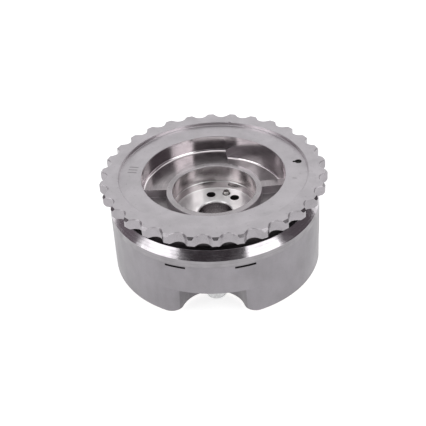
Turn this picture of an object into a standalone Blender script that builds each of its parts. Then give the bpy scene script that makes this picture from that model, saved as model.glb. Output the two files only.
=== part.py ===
"""Camshaft timing gear with a vane phaser inside it: chain sprocket, housing, rotor and their small pieces.

Metres, Z up. The collar under the housing stands on Z = 0 and the sprocket's teeth are on top.
Azimuths are degrees from +X, turning towards +Y. The rotor is modelled in the middle of its swing.
"""
import math

import bmesh
import bpy
from mathutils import Matrix

# Clearances between pieces that touch, slide or are pressed together
GAP = 0.0003

# How round things are cut into flat facets
FACET_DEGREES = 6.0
HOLE_STEPS = 16
FILLET_STEPS = 3
OVERLAP = 0.001

# Chain sprocket's teeth, for a roller chain
TEETH = 30
CHAIN_PITCH = 0.0080
ROLLER_SEAT_RADIUS = 0.0025
SEAT_HALF_ANGLE = 47.0
SEAT_STEPS = 6
TIP_ABOVE_PITCH_CIRCLE = 0.0001
TIP_CORNER = 0.0002
TIP_CHAMFER = 0.0008
TOOTH_EDGE = 0.0002
TOOTH_TIP_AZIMUTH = 93.9
TOOTH_PLATE_HEIGHT = 0.0038

# Sprocket's body, from the recess in the tooth plate down to the flange
RIM_WIDTH = 0.0039
RECESS_DEPTH = 0.0013
OPENING_EDGE = 0.0003
NECK_WALL = 0.00745
NECK_HEIGHT = 0.00435
CONE_LEDGE = 0.0018
CONE_WIDTH = 0.00215
CONE_HEIGHT = 0.0029
FLANGE_RIM_HEIGHT = 0.00245

# Ring round the camshaft's nose, with the land, the rib and the floor beside it
JOURNAL_RADIUS = 0.0142
RING_WIDTH = 0.0022
RING_CHAMFER = 0.0003
RING_HEIGHT = 0.0030
WEB_THICKNESS = 0.0031
FLOOR_FILLET = 0.00075
LAND_FILLET = 0.00105
LAND_FILLET_END = -20.0
LAND_START = 82.0
LAND_END = 181.0
RIB_AZIMUTH = 9.1
RIB_WIDTH = 0.0036

# Two round dimples in the recess: azimuth, distance from the opening's edge, radius
DIMPLES = ((13.3, 0.0052, 0.0012), (13.9, 0.00375, 0.0005))
DIMPLE_DEPTH = 0.0006

# Housing
BODY_RADIUS = 0.0357
COLLAR_HEIGHT = 0.00095
COLLAR_WIDTH = 0.0021
COLLAR_BORE = 0.01265
COLLAR_CHAMFER = 0.0003
COLLAR_BORE_CHAMFER = 0.0005
END_WALL = 0.00595
LOWER_EDGE_ROUNDING = 0.0020
LOWER_EDGE_STEPS = 3
CHAMBER_WALL = 0.00455

# Scalloped pockets for the cover bolts, each in the middle of a shoe between two chambers
POCKET_AZIMUTHS = (20.0, 160.0, -90.0)
SHOE_HALF_ANGLE = 23.0
POCKET_DEPTH = 0.0111
SCALLOP_INSET = 0.00375
SCALLOP_WALL = 0.0019
SCALLOP_DRAFT = 0.00055
SCALLOP_EDGE = 0.00045
SCALLOP_STEPS = 12
MOUTH_ROUNDING = 0.0047
MOUTH_STEPS = 5

# Slits at the housing's rim and small holes in its end face, with each hole's distance from the outside
SLIT_START = 12.9
SLIT_END = 24.2
SLIT_HEIGHT = 0.00075
SLIT_DEPTH = 0.0023
END_HOLES = ((54.1, 0.0115), (68.5, 0.0131), (93.1, 0.0117), (188.6, 0.01235))
END_HOLE_RADIUS = 0.0015
END_HOLE_DEPTH = 0.00425

# Cover bolts
BOLT_AZIMUTHS = (-87.5, 22.5, 160.0)
BOLT_INSET = 0.00505
BOLT_RADIUS = 0.0025
BOLT_THREAD_REACH = 0.0042
BOLT_TIP_CHAMFER = 0.0005
HEAD_RADIUS = 0.00415
HEAD_FLANGE = 0.0017
HEAD_CONE = 0.0006
HEAD_HEIGHT = 0.0036
DOME_RADIUS = 0.0032
DOME_EDGE = 0.0006
SOCKET_RADIUS = 0.0018
SOCKET_DEPTH = 0.0015

# Rotor
ROTOR_HEIGHT = 0.0151
HUB_WALL = 0.0026
SEAT_DEPTH = 0.0029
BOSS_HEIGHT = 0.0006
BOLT_HOLE_RADIUS = 0.00575
BOLT_HOLE_CHAMFER = 0.00055
VANE_CENTRES = (90.0, 215.0, -35.0)
VANE_HALF_ANGLES = (34.0, 15.0, 15.0)
VANE_SEAL_AZIMUTHS = (70.0, 215.0, -35.0)

# Oil holes of the rotor
OIL_CIRCLE = 0.0102
OIL_HOLE_RADIUS = 0.0016
OIL_HOLE_DEPTH = 0.0054
PORT_RADIUS = 0.0011
RETARD_AZIMUTHS = (51.2, 195.0, -15.0)
RETARD_PORT_ABOVE = 0.0079
ADVANCE_AZIMUTHS = (129.0, 235.0, -55.0)
ADVANCE_PORT_ABOVE = 0.0042

# Knock pin in the camshaft seat
KNOCK_PIN_AZIMUTH = 72.2
KNOCK_PIN_CIRCLE = 0.01115
KNOCK_PIN_RADIUS = 0.0011
KNOCK_PIN_PROUD = 0.0011
KNOCK_PIN_SUNK = 0.0035
KNOCK_PIN_CHAMFER = 0.0003

# Tip seals of the vanes, seals of the shoes and the leaf springs behind them
SEAL_WIDTH = 0.0019
SEAL_EDGE = 0.0003
VANE_SEAL_HEIGHT = 0.0020
SHOE_SEAL_HEIGHT = 0.0012
LEAF_THICKNESS = 0.0003
LEAF_ARCH = 0.0006
LEAF_END_SPACE = 0.0010
LEAF_STEPS = 8

# Lock pin, its spring and seat, and the bushing it locks into
LOCK_AZIMUTH = 101.3
LOCK_SWING = 12.0
LOCK_PIN_SHARE = 0.25
LOCK_PIN_LENGTH = 0.0085
LOCK_PIN_NOSE = 0.0006
LOCK_PIN_CROWN = 0.0028
LOCK_PIN_WALL = 0.0011
LOCK_SEAT_THICKNESS = 0.0019
SPRING_WIRE = 0.00065
SPRING_TURNS = 6
SPRING_STEPS = 10
SPRING_SIDES = 5
BUSHING_WALL = 0.0018
BUSHING_HEIGHT = 0.0033

# Heights that follow from the sizes above
END_FACE = COLLAR_HEIGHT
CHAMBER_FLOOR = END_FACE + END_WALL
POCKET_CEILING = END_FACE + POCKET_DEPTH
ROTOR_BOTTOM = CHAMBER_FLOOR + GAP
ROTOR_TOP = ROTOR_BOTTOM + ROTOR_HEIGHT
CAMSHAFT_SEAT = ROTOR_TOP - SEAT_DEPTH
FLANGE_FACE = ROTOR_TOP + GAP
CONE_BOTTOM = FLANGE_FACE + FLANGE_RIM_HEIGHT
CONE_TOP = CONE_BOTTOM + CONE_HEIGHT
WEB_FLOOR = FLANGE_FACE + WEB_THICKNESS
RING_TOP = WEB_FLOOR + RING_HEIGHT
TOOTH_PLATE_BOTTOM = CONE_TOP + NECK_HEIGHT
TOP_FACE = TOOTH_PLATE_BOTTOM + TOOTH_PLATE_HEIGHT
RECESS_FLOOR = TOP_FACE - RECESS_DEPTH
BOLT_TIP = FLANGE_FACE + BOLT_THREAD_REACH
LOCK_SEAT_TOP = ROTOR_BOTTOM + GAP + LOCK_SEAT_THICKNESS
LOCK_PIN_BOTTOM = ROTOR_TOP - LOCK_PIN_LENGTH
BUSHING_TOP = FLANGE_FACE + BUSHING_HEIGHT

# Radii of the sprocket that follow from the sizes above
PITCH_RADIUS = CHAIN_PITCH / (2.0 * math.sin(math.pi / TEETH))
ROOT_RADIUS = PITCH_RADIUS - ROLLER_SEAT_RADIUS
TIP_RADIUS = PITCH_RADIUS + TIP_ABOVE_PITCH_CIRCLE
RECESS_RADIUS = ROOT_RADIUS - RIM_WIDTH
CONE_TOP_RADIUS = BODY_RADIUS - CONE_WIDTH
NECK_RADIUS = CONE_TOP_RADIUS - CONE_LEDGE
OPENING_RADIUS = NECK_RADIUS - NECK_WALL
RING_RADIUS = JOURNAL_RADIUS + RING_WIDTH

# Radii of the housing and the rotor that follow from the sizes above
CHAMBER_RADIUS = BODY_RADIUS - CHAMBER_WALL
SCALLOP_CENTRE = BODY_RADIUS - SCALLOP_INSET
SCALLOP_RADIUS = SCALLOP_CENTRE * math.sin(math.radians(SHOE_HALF_ANGLE)) - SCALLOP_WALL
BOLT_CIRCLE = BODY_RADIUS - BOLT_INSET
HUB_RADIUS = JOURNAL_RADIUS + HUB_WALL
SHOE_RADIUS = HUB_RADIUS + GAP
VANE_RADIUS = CHAMBER_RADIUS - GAP
BOSS_RADIUS = COLLAR_BORE - GAP

# Sizes of the lock and the seal grooves that follow from the sizes above
LOCK_CIRCLE = (HUB_RADIUS + CHAMBER_RADIUS) / 2.0
LOCK_PIN_RADIUS = LOCK_PIN_SHARE * (CHAMBER_RADIUS - HUB_RADIUS)
LOCK_PIN_HOLLOW = LOCK_PIN_RADIUS - LOCK_PIN_WALL
LOCK_BORE_RADIUS = LOCK_PIN_RADIUS + GAP
BUSHING_RADIUS = LOCK_BORE_RADIUS + BUSHING_WALL
SPRING_RADIUS = LOCK_PIN_HOLLOW - GAP - SPRING_WIRE / 2.0
GROOVE_WIDTH = SEAL_WIDTH + 2.0 * GAP
LEAF_HEIGHT = LEAF_ARCH + LEAF_THICKNESS
VANE_GROOVE_RADIUS = VANE_RADIUS - VANE_SEAL_HEIGHT - LEAF_HEIGHT - 2.0 * GAP
SHOE_GROOVE_RADIUS = SHOE_RADIUS + SHOE_SEAL_HEIGHT + LEAF_HEIGHT + 2.0 * GAP

# Linear colour, roughness and metallic of each material
FINISHES = {
    "sintered_steel": ((0.42, 0.40, 0.42, 1.0), 0.45, 0.9),
    "cast_aluminium": ((0.45, 0.44, 0.46, 1.0), 0.40, 0.9),
    "rotor_steel": ((0.48, 0.47, 0.46, 1.0), 0.30, 0.95),
    "zinc_plated_steel": ((0.62, 0.63, 0.62, 1.0), 0.32, 0.9),
    "hardened_steel": ((0.40, 0.39, 0.38, 1.0), 0.25, 1.0),
    "spring_steel": ((0.30, 0.30, 0.32, 1.0), 0.30, 1.0),
    "seal_plastic": ((0.03, 0.03, 0.035, 1.0), 0.55, 0.0),
}


def polar(radius, azimuth):
    angle = math.radians(azimuth)
    return (radius * math.cos(angle), radius * math.sin(angle))


def arc(centre, radius, start, end, steps):
    """Points of an arc, both ends included."""
    points = []
    for step in range(steps + 1):
        x, y = polar(radius, start + (end - start) * step / steps)
        points.append((centre[0] + x, centre[1] + y))
    return points


def arc_steps(start, end):
    return max(2, round(abs(end - start) / FACET_DEGREES))


def turn_points(points, azimuth):
    """Points turned about the axis."""
    cosine, sine = polar(1.0, azimuth)
    return [(x * cosine - y * sine, x * sine + y * cosine) for x, y in points]


def finish(name):
    """The material of this name, made once."""
    material = bpy.data.materials.get(name)
    if material is None:
        colour, roughness, metallic = FINISHES[name]
        material = bpy.data.materials.new(name)
        material.use_nodes = True
        shader = material.node_tree.nodes["Principled BSDF"]
        shader.inputs["Base Color"].default_value = colour
        shader.inputs["Roughness"].default_value = roughness
        shader.inputs["Metallic"].default_value = metallic
        material.diffuse_color = colour
    return material


def make_object(name, mesh, place=(0.0, 0.0)):
    """Object from a bmesh, its origin on the vertical line through place."""
    bmesh.ops.recalc_face_normals(mesh, faces=mesh.faces)
    data = bpy.data.meshes.new(name)
    mesh.to_mesh(data)
    mesh.free()
    piece = bpy.data.objects.new(name, data)
    piece.location = (place[0], place[1], 0.0)
    bpy.context.scene.collection.objects.link(piece)
    return piece


def wall(mesh, low, high):
    """Side faces between two loops of vertices."""
    count = len(low)
    for i in range(count):
        j = (i + 1) % count
        mesh.faces.new((low[i], low[j], high[j], high[i]))


def stack(name, loops, place=(0.0, 0.0)):
    """Solid through loops of (x, y, z) points, each with the same number of points."""
    mesh = bmesh.new()
    rings = [[mesh.verts.new(point) for point in loop] for loop in loops]
    for low, high in zip(rings, rings[1:]):
        wall(mesh, low, high)
    mesh.faces.new(list(reversed(rings[0])))
    mesh.faces.new(rings[-1])
    return make_object(name, mesh, place)


def prism(name, outline, low, high, place=(0.0, 0.0)):
    """Outline raised from one height to another."""
    return stack(name, [[(x, y, z) for x, y in outline] for z in (low, high)], place)


def turned(name, profile, place=(0.0, 0.0), steps=round(360.0 / FACET_DEGREES)):
    """Solid turned from (radius, height) points; the profile runs up its outer side and is closed."""
    mesh = bmesh.new()
    rings = []
    for radius, height in profile:
        if radius == 0.0:
            rings.append([mesh.verts.new((0.0, 0.0, height))] * steps)
        else:
            ring = [polar(radius, 360.0 * step / steps) for step in range(steps)]
            rings.append([mesh.verts.new((x, y, height)) for x, y in ring])
    for i, low in enumerate(rings):
        high = rings[(i + 1) % len(rings)]
        if low[0] is low[1] and high[0] is high[1]:
            continue
        for a in range(steps):
            b = (a + 1) % steps
            corners = []
            for vertex in (low[a], low[b], high[b], high[a]):
                if vertex not in corners:
                    corners.append(vertex)
            mesh.faces.new(corners)
    return make_object(name, mesh, place)


def turned_part(name, profile, start, end):
    """Solid turned from a closed profile through part of a turn."""
    mesh = bmesh.new()
    steps = arc_steps(start, end)
    slices = []
    for step in range(steps + 1):
        cosine, sine = polar(1.0, start + (end - start) * step / steps)
        slices.append([mesh.verts.new((r * cosine, r * sine, z)) for r, z in profile])
    for low, high in zip(slices, slices[1:]):
        wall(mesh, high, low)
    mesh.faces.new(slices[0])
    mesh.faces.new(list(reversed(slices[-1])))
    return make_object(name, mesh)


def cylinder(name, radius, low, high, place=(0.0, 0.0), steps=HOLE_STEPS):
    return turned(name, [(0.0, low), (radius, low), (radius, high), (0.0, high)], place, steps)


def combine(body, tool, operation):
    """Body joined with the tool or cut by it; the tool is used up."""
    modifier = body.modifiers.new(operation.lower(), "BOOLEAN")
    modifier.operation = operation
    modifier.solver = "EXACT"
    modifier.object = tool
    bpy.context.view_layer.update()
    graph = bpy.context.evaluated_depsgraph_get()
    result = bpy.data.meshes.new_from_object(body.evaluated_get(graph))
    body.modifiers.clear()
    body.data = result
    bpy.data.objects.remove(tool)


def cut(body, tool):
    combine(body, tool, "DIFFERENCE")


def join(body, tool):
    combine(body, tool, "UNION")


def drill(body, radius, low, high, azimuth, reach):
    """Upright hole at this azimuth and distance from the axis."""
    cut(body, cylinder("drill", radius, low, high, polar(reach, azimuth)))


def drill_outward(body, radius, height, azimuth, inner, outer):
    """Hole along a radius, from one distance to another."""
    tool = cylinder("drill", radius, inner, outer)
    tool.data.transform(Matrix.Rotation(math.radians(90.0), 4, "Y"))
    tool.data.transform(Matrix.Rotation(math.radians(azimuth), 4, "Z"))
    tool.data.transform(Matrix.Translation((0.0, 0.0, height)))
    cut(body, tool)


def complete(piece, name, material):
    """Name, material and smooth shading of a finished piece."""
    piece.name = name
    piece.data.name = name
    piece.data.materials.clear()
    piece.data.materials.append(finish(material))
    piece.data.shade_smooth()
    piece.data.set_sharp_from_angle(angle=math.radians(30.0))


def bar(name, outline, low, high, azimuth):
    """Prism whose outline is drawn with the radius along +X."""
    return prism(name, turn_points(outline, azimuth), low, high)


# Sprocket: teeth

def tooth_outline(inset):
    """Round seats for the chain's rollers on the pitch circle, slanting flanks and blunt tips."""
    seat = ROLLER_SEAT_RADIUS + inset
    tip = TIP_RADIUS - inset
    half = math.radians(SEAT_HALF_ANGLE)
    end_x = PITCH_RADIUS - seat * math.cos(half)
    end_y = seat * math.sin(half)
    along = end_x * math.sin(half) + end_y * math.cos(half)
    flank = math.sqrt(along ** 2 - end_x ** 2 - end_y ** 2 + tip ** 2) - along
    before = (end_x + (flank - TIP_CORNER) * math.sin(half), end_y + (flank - TIP_CORNER) * math.cos(half))
    corner = math.degrees(math.atan2(end_y + flank * math.cos(half), end_x + flank * math.sin(half)))
    after = polar(tip, corner + math.degrees(TIP_CORNER / tip))
    gap = [(after[0], -after[1]), (before[0], -before[1])]
    gap += arc((PITCH_RADIUS, 0.0), seat, 180.0 + SEAT_HALF_ANGLE, 180.0 - SEAT_HALF_ANGLE, SEAT_STEPS)
    gap += [before, after]
    outline = []
    for tooth in range(TEETH):
        outline += turn_points(gap, TOOTH_TIP_AZIMUTH + (tooth + 0.5) * 360.0 / TEETH)
    return outline


def tooth_plate():
    """Toothed disc with broken edges, its tips turned down to a chamfer above and below."""
    levels = (
        (TOOTH_PLATE_BOTTOM, TOOTH_EDGE),
        (TOOTH_PLATE_BOTTOM + TOOTH_EDGE, 0.0),
        (TOP_FACE - TOOTH_EDGE, 0.0),
        (TOP_FACE, TOOTH_EDGE),
    )
    plate = stack("teeth", [[(x, y, z) for x, y in tooth_outline(inset)] for z, inset in levels])
    inner = TIP_RADIUS - TIP_CHAMFER - OVERLAP
    outer = TIP_RADIUS + OVERLAP
    for face, down in ((TOP_FACE, -1.0), (TOOTH_PLATE_BOTTOM, 1.0)):
        outside = face - down * OVERLAP
        depth = face + down * (TIP_CHAMFER + OVERLAP)
        cut(plate, turned("tip_chamfer", [(inner, outside), (outer, depth), (outer, outside)]))
    return plate


# Sprocket: body

def sprocket_cavity():
    """Space cut out of the sprocket: journal bore, trough round its ring, opening and recess."""
    fillet_centre = (OPENING_RADIUS - FLOOR_FILLET, WEB_FLOOR + FLOOR_FILLET)
    profile = [
        (0.0, FLANGE_FACE - OVERLAP),
        (JOURNAL_RADIUS, FLANGE_FACE - OVERLAP),
        (JOURNAL_RADIUS, RING_TOP - RING_CHAMFER),
        (JOURNAL_RADIUS + RING_CHAMFER, RING_TOP),
        (RING_RADIUS - RING_CHAMFER, RING_TOP),
        (RING_RADIUS, RING_TOP - RING_CHAMFER),
        (RING_RADIUS, WEB_FLOOR),
    ]
    profile += arc(fillet_centre, FLOOR_FILLET, -90.0, 0.0, FILLET_STEPS)
    profile += [
        (OPENING_RADIUS, RECESS_FLOOR - OPENING_EDGE),
        (OPENING_RADIUS + OPENING_EDGE, RECESS_FLOOR),
        (RECESS_RADIUS, RECESS_FLOOR),
        (RECESS_RADIUS, TOP_FACE + OVERLAP),
        (0.0, TOP_FACE + OVERLAP),
    ]
    return turned("cavity", profile)


def sprocket_land():
    """Broad land that joins the journal ring to the wall, flush with the ring and filleted at the wall."""
    inner = (JOURNAL_RADIUS + RING_RADIUS) / 2.0
    outer = OPENING_RADIUS + OVERLAP
    bottom = WEB_FLOOR - OVERLAP
    centre = (OPENING_RADIUS - LAND_FILLET, RING_TOP + LAND_FILLET)
    fillet = arc(centre, LAND_FILLET, -90.0, LAND_FILLET_END, FILLET_STEPS)
    profile = [(inner, bottom), (outer, bottom), (outer, fillet[-1][1])]
    profile += list(reversed(fillet))
    profile.append((inner, RING_TOP))
    return turned_part("land", profile, LAND_START, LAND_END)


def sprocket_rib():
    inner = (JOURNAL_RADIUS + RING_RADIUS) / 2.0
    outer = OPENING_RADIUS + OVERLAP
    half = RIB_WIDTH / 2.0
    outline = [(inner, -half), (outer, -half), (outer, half), (inner, half)]
    return bar("rib", outline, WEB_FLOOR - OVERLAP, RING_TOP, RIB_AZIMUTH)


def make_sprocket():
    body = turned("sprocket", [
        (0.0, FLANGE_FACE),
        (BODY_RADIUS, FLANGE_FACE),
        (BODY_RADIUS, CONE_BOTTOM),
        (CONE_TOP_RADIUS, CONE_TOP),
        (NECK_RADIUS, CONE_TOP),
        (NECK_RADIUS, TOOTH_PLATE_BOTTOM + OVERLAP),
        (0.0, TOOTH_PLATE_BOTTOM + OVERLAP),
    ])
    join(body, tooth_plate())
    cut(body, sprocket_cavity())
    join(body, sprocket_land())
    join(body, sprocket_rib())
    for azimuth in BOLT_AZIMUTHS:
        drill(body, BOLT_RADIUS + GAP, FLANGE_FACE - OVERLAP, BOLT_TIP + GAP, azimuth, BOLT_CIRCLE)
    azimuth = LOCK_AZIMUTH + LOCK_SWING
    drill(body, BUSHING_RADIUS + GAP, FLANGE_FACE - OVERLAP, BUSHING_TOP + GAP, azimuth, LOCK_CIRCLE)
    for azimuth, reach, radius in DIMPLES:
        bottom = RECESS_FLOOR - DIMPLE_DEPTH
        drill(body, radius, bottom, RECESS_FLOOR + OVERLAP, azimuth, OPENING_RADIUS + reach)
    complete(body, "sprocket", "sintered_steel")


# Housing: outer form

def mouth(outer, scallop, corner):
    """Where the rounded corners of a pocket's mouth lie, for a pocket on +X.

    Returns the corner centre's distance along and across the pocket's middle line, the azimuth at which the
    corner leaves the outside, and the direction from the corner's centre to the scallop's centre.
    """
    reach = outer - corner
    along = (SCALLOP_CENTRE ** 2 + reach ** 2 - (scallop + corner) ** 2) / (2.0 * SCALLOP_CENTRE)
    across = math.sqrt(reach ** 2 - along ** 2)
    leave = math.degrees(math.atan2(across, along))
    meet = math.degrees(math.atan2(across, SCALLOP_CENTRE - along))
    return along, across, leave, meet


def mouth_points(outer, scallop, corner):
    """Outline of one pocket, on +X, from the outside on one hand to the outside on the other."""
    along, across, leave, meet = mouth(outer, scallop, corner)
    points = arc((along, -across), corner, -leave, meet, MOUTH_STEPS)
    points += arc((SCALLOP_CENTRE, 0.0), scallop, meet - 180.0, -180.0 - meet, SCALLOP_STEPS)[1:-1]
    points += arc((along, across), corner, -meet, leave, MOUTH_STEPS)
    return points


def lobe_points(outer, pocket, leave):
    """Points on the outside from one pocket's mouth to the next, without the ends."""
    start = POCKET_AZIMUTHS[pocket]
    end = POCKET_AZIMUTHS[(pocket + 1) % len(POCKET_AZIMUTHS)]
    end += 360.0 if end < start else 0.0
    steps = arc_steps(start + MOUTH_STEPS * FACET_DEGREES, end - MOUTH_STEPS * FACET_DEGREES)
    return arc((0.0, 0.0), outer, start + leave, end - leave, steps)[1:-1]


def housing_levels():
    """Height, outer radius, scallop radius and corner radius, from the end face up to the ceiling."""
    levels = []
    for step in range(LOWER_EDGE_STEPS + 1):
        angle = math.radians(90.0 * step / LOWER_EDGE_STEPS)
        rise = LOWER_EDGE_ROUNDING * (1.0 - math.cos(angle))
        inset = LOWER_EDGE_ROUNDING * (1.0 - math.sin(angle))
        flare = max(0.0, SCALLOP_EDGE - rise) - SCALLOP_DRAFT * rise / POCKET_DEPTH
        levels.append((END_FACE + rise, BODY_RADIUS - inset, SCALLOP_RADIUS + flare, MOUTH_ROUNDING - inset))
    levels.append((POCKET_CEILING, BODY_RADIUS, SCALLOP_RADIUS - SCALLOP_DRAFT, MOUTH_ROUNDING))
    return levels


def housing_form():
    """Cup without its hollow: lobes and scalloped pockets below the ceiling, a plain cylinder above it."""
    mesh = bmesh.new()
    rings = []
    for height, outer, scallop, corner in housing_levels():
        leave = mouth(outer, scallop, corner)[2]
        mouths = []
        lobes = []
        for pocket, azimuth in enumerate(POCKET_AZIMUTHS):
            points = turn_points(mouth_points(outer, scallop, corner), azimuth)
            mouths.append([mesh.verts.new((x, y, height)) for x, y in points])
            points = lobe_points(outer, pocket, leave)
            lobes.append([mesh.verts.new((x, y, height)) for x, y in points])
        rings.append([vertex for pair in zip(mouths, lobes) for run in pair for vertex in run])
    for low, high in zip(rings, rings[1:]):
        wall(mesh, low, high)
    mesh.faces.new(list(reversed(rings[0])))
    upper = []
    for azimuth, opening, lobe in zip(POCKET_AZIMUTHS, mouths, lobes):
        steps = arc_steps(-leave, leave)
        points = arc((0.0, 0.0), BODY_RADIUS, azimuth - leave, azimuth + leave, steps)[1:-1]
        rim = [mesh.verts.new((x, y, POCKET_CEILING)) for x, y in points]
        mesh.faces.new(opening + list(reversed(rim)))
        upper += [opening[0]] + rim + [opening[-1]] + lobe
    top = [mesh.verts.new((vertex.co.x, vertex.co.y, ROTOR_TOP)) for vertex in upper]
    wall(mesh, upper, top)
    mesh.faces.new(top)
    return make_object("housing", mesh)


# Housing: chambers

def groove(radius, floor_radius):
    """Corners of a seal groove on +X that runs from an edge at this radius to its floor and back."""
    half = GROOVE_WIDTH / 2.0
    edge = math.sqrt(radius ** 2 - half ** 2)
    return [(edge, -half), (floor_radius, -half), (floor_radius, half), (edge, half)]


def arc_with_groove(radius, floor_radius, start, middle, end):
    """Arc from start to end with a seal groove at the middle azimuth."""
    edge = math.degrees(math.asin(GROOVE_WIDTH / 2.0 / radius))
    points = arc((0.0, 0.0), radius, start, middle - edge, arc_steps(start, middle - edge))[:-1]
    points += turn_points(groove(radius, floor_radius), middle)
    points += arc((0.0, 0.0), radius, middle + edge, end, arc_steps(middle + edge, end))[1:]
    return points


def chamber_outline():
    """Plan of the housing's hollow: three grooved shoes, each with an oil chamber after it."""
    outline = []
    for shoe, middle in enumerate(POCKET_AZIMUTHS):
        start = middle + SHOE_HALF_ANGLE
        end = POCKET_AZIMUTHS[(shoe + 1) % len(POCKET_AZIMUTHS)] - SHOE_HALF_ANGLE
        end += 360.0 if end < start else 0.0
        outline += arc_with_groove(SHOE_RADIUS, SHOE_GROOVE_RADIUS, middle - SHOE_HALF_ANGLE, middle, start)
        outline += arc((0.0, 0.0), CHAMBER_RADIUS, start, end, arc_steps(start, end))
    return outline


def slit(azimuth):
    """Cutter for one thin slit at the housing's rim."""
    inner = BODY_RADIUS - SLIT_DEPTH
    outer = BODY_RADIUS + OVERLAP
    low = ROTOR_TOP - SLIT_HEIGHT
    high = ROTOR_TOP + OVERLAP
    half = (SLIT_END - SLIT_START) / 2.0
    profile = [(inner, low), (outer, low), (outer, high), (inner, high)]
    return turned_part("slit", profile, azimuth - half, azimuth + half)


def make_housing():
    body = housing_form()
    join(body, turned("collar", [
        (0.0, 0.0),
        (COLLAR_BORE + COLLAR_WIDTH - COLLAR_CHAMFER, 0.0),
        (COLLAR_BORE + COLLAR_WIDTH, COLLAR_CHAMFER),
        (COLLAR_BORE + COLLAR_WIDTH, END_FACE + OVERLAP),
        (0.0, END_FACE + OVERLAP),
    ]))
    cut(body, turned("collar_bore", [
        (0.0, -OVERLAP),
        (COLLAR_BORE + COLLAR_BORE_CHAMFER + OVERLAP, -OVERLAP),
        (COLLAR_BORE, COLLAR_BORE_CHAMFER),
        (COLLAR_BORE, CHAMBER_FLOOR + OVERLAP),
        (0.0, CHAMBER_FLOOR + OVERLAP),
    ]))
    cut(body, prism("chambers", chamber_outline(), CHAMBER_FLOOR, ROTOR_TOP + OVERLAP))
    for azimuth in BOLT_AZIMUTHS:
        drill(body, BOLT_RADIUS + GAP, POCKET_CEILING - OVERLAP, ROTOR_TOP + OVERLAP, azimuth, BOLT_CIRCLE)
    for azimuth in POCKET_AZIMUTHS:
        for side in (-1.0, 1.0):
            cut(body, slit(azimuth + side * (SLIT_START + SLIT_END) / 2.0))
    for azimuth, inset in END_HOLES:
        top = END_FACE + END_HOLE_DEPTH
        drill(body, END_HOLE_RADIUS, END_FACE - OVERLAP, top, azimuth, BODY_RADIUS - inset)
    complete(body, "housing", "cast_aluminium")


# Cover bolts

def make_cover_bolt(name, azimuth):
    """Bolt from below: round flange, narrower head with a hexagon socket, shank up into the sprocket."""
    seat = POCKET_CEILING - GAP
    bottom = seat - HEAD_HEIGHT
    flange = seat - HEAD_FLANGE
    profile = [
        (0.0, bottom),
        (DOME_RADIUS - DOME_EDGE, bottom),
        (DOME_RADIUS, bottom + DOME_EDGE),
        (DOME_RADIUS, flange - HEAD_CONE),
        (HEAD_RADIUS, flange),
        (HEAD_RADIUS, seat),
        (BOLT_RADIUS, seat),
        (BOLT_RADIUS, BOLT_TIP - BOLT_TIP_CHAMFER),
        (BOLT_RADIUS - BOLT_TIP_CHAMFER, BOLT_TIP),
        (0.0, BOLT_TIP),
    ]
    place = polar(BOLT_CIRCLE, azimuth)
    body = turned(name, profile, place, HOLE_STEPS)
    cut(body, cylinder("socket", SOCKET_RADIUS, bottom - OVERLAP, bottom + SOCKET_DEPTH, place, 6))
    complete(body, name, "zinc_plated_steel")


# Rotor

def rotor_outline():
    """Hub with three vanes, each with a groove for its tip seal."""
    outline = []
    count = len(VANE_CENTRES)
    for vane in range(count):
        start = VANE_CENTRES[vane] - VANE_HALF_ANGLES[vane]
        end = VANE_CENTRES[vane] + VANE_HALF_ANGLES[vane]
        outline += arc_with_groove(VANE_RADIUS, VANE_GROOVE_RADIUS, start, VANE_SEAL_AZIMUTHS[vane], end)
        following = (vane + 1) % count
        hub_end = VANE_CENTRES[following] - VANE_HALF_ANGLES[following]
        hub_end += 360.0 if hub_end < end - 180.0 else 0.0
        hub_end -= 360.0 if hub_end > end + 180.0 else 0.0
        outline += arc((0.0, 0.0), HUB_RADIUS, end, hub_end, arc_steps(end, hub_end))
    return outline


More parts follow.
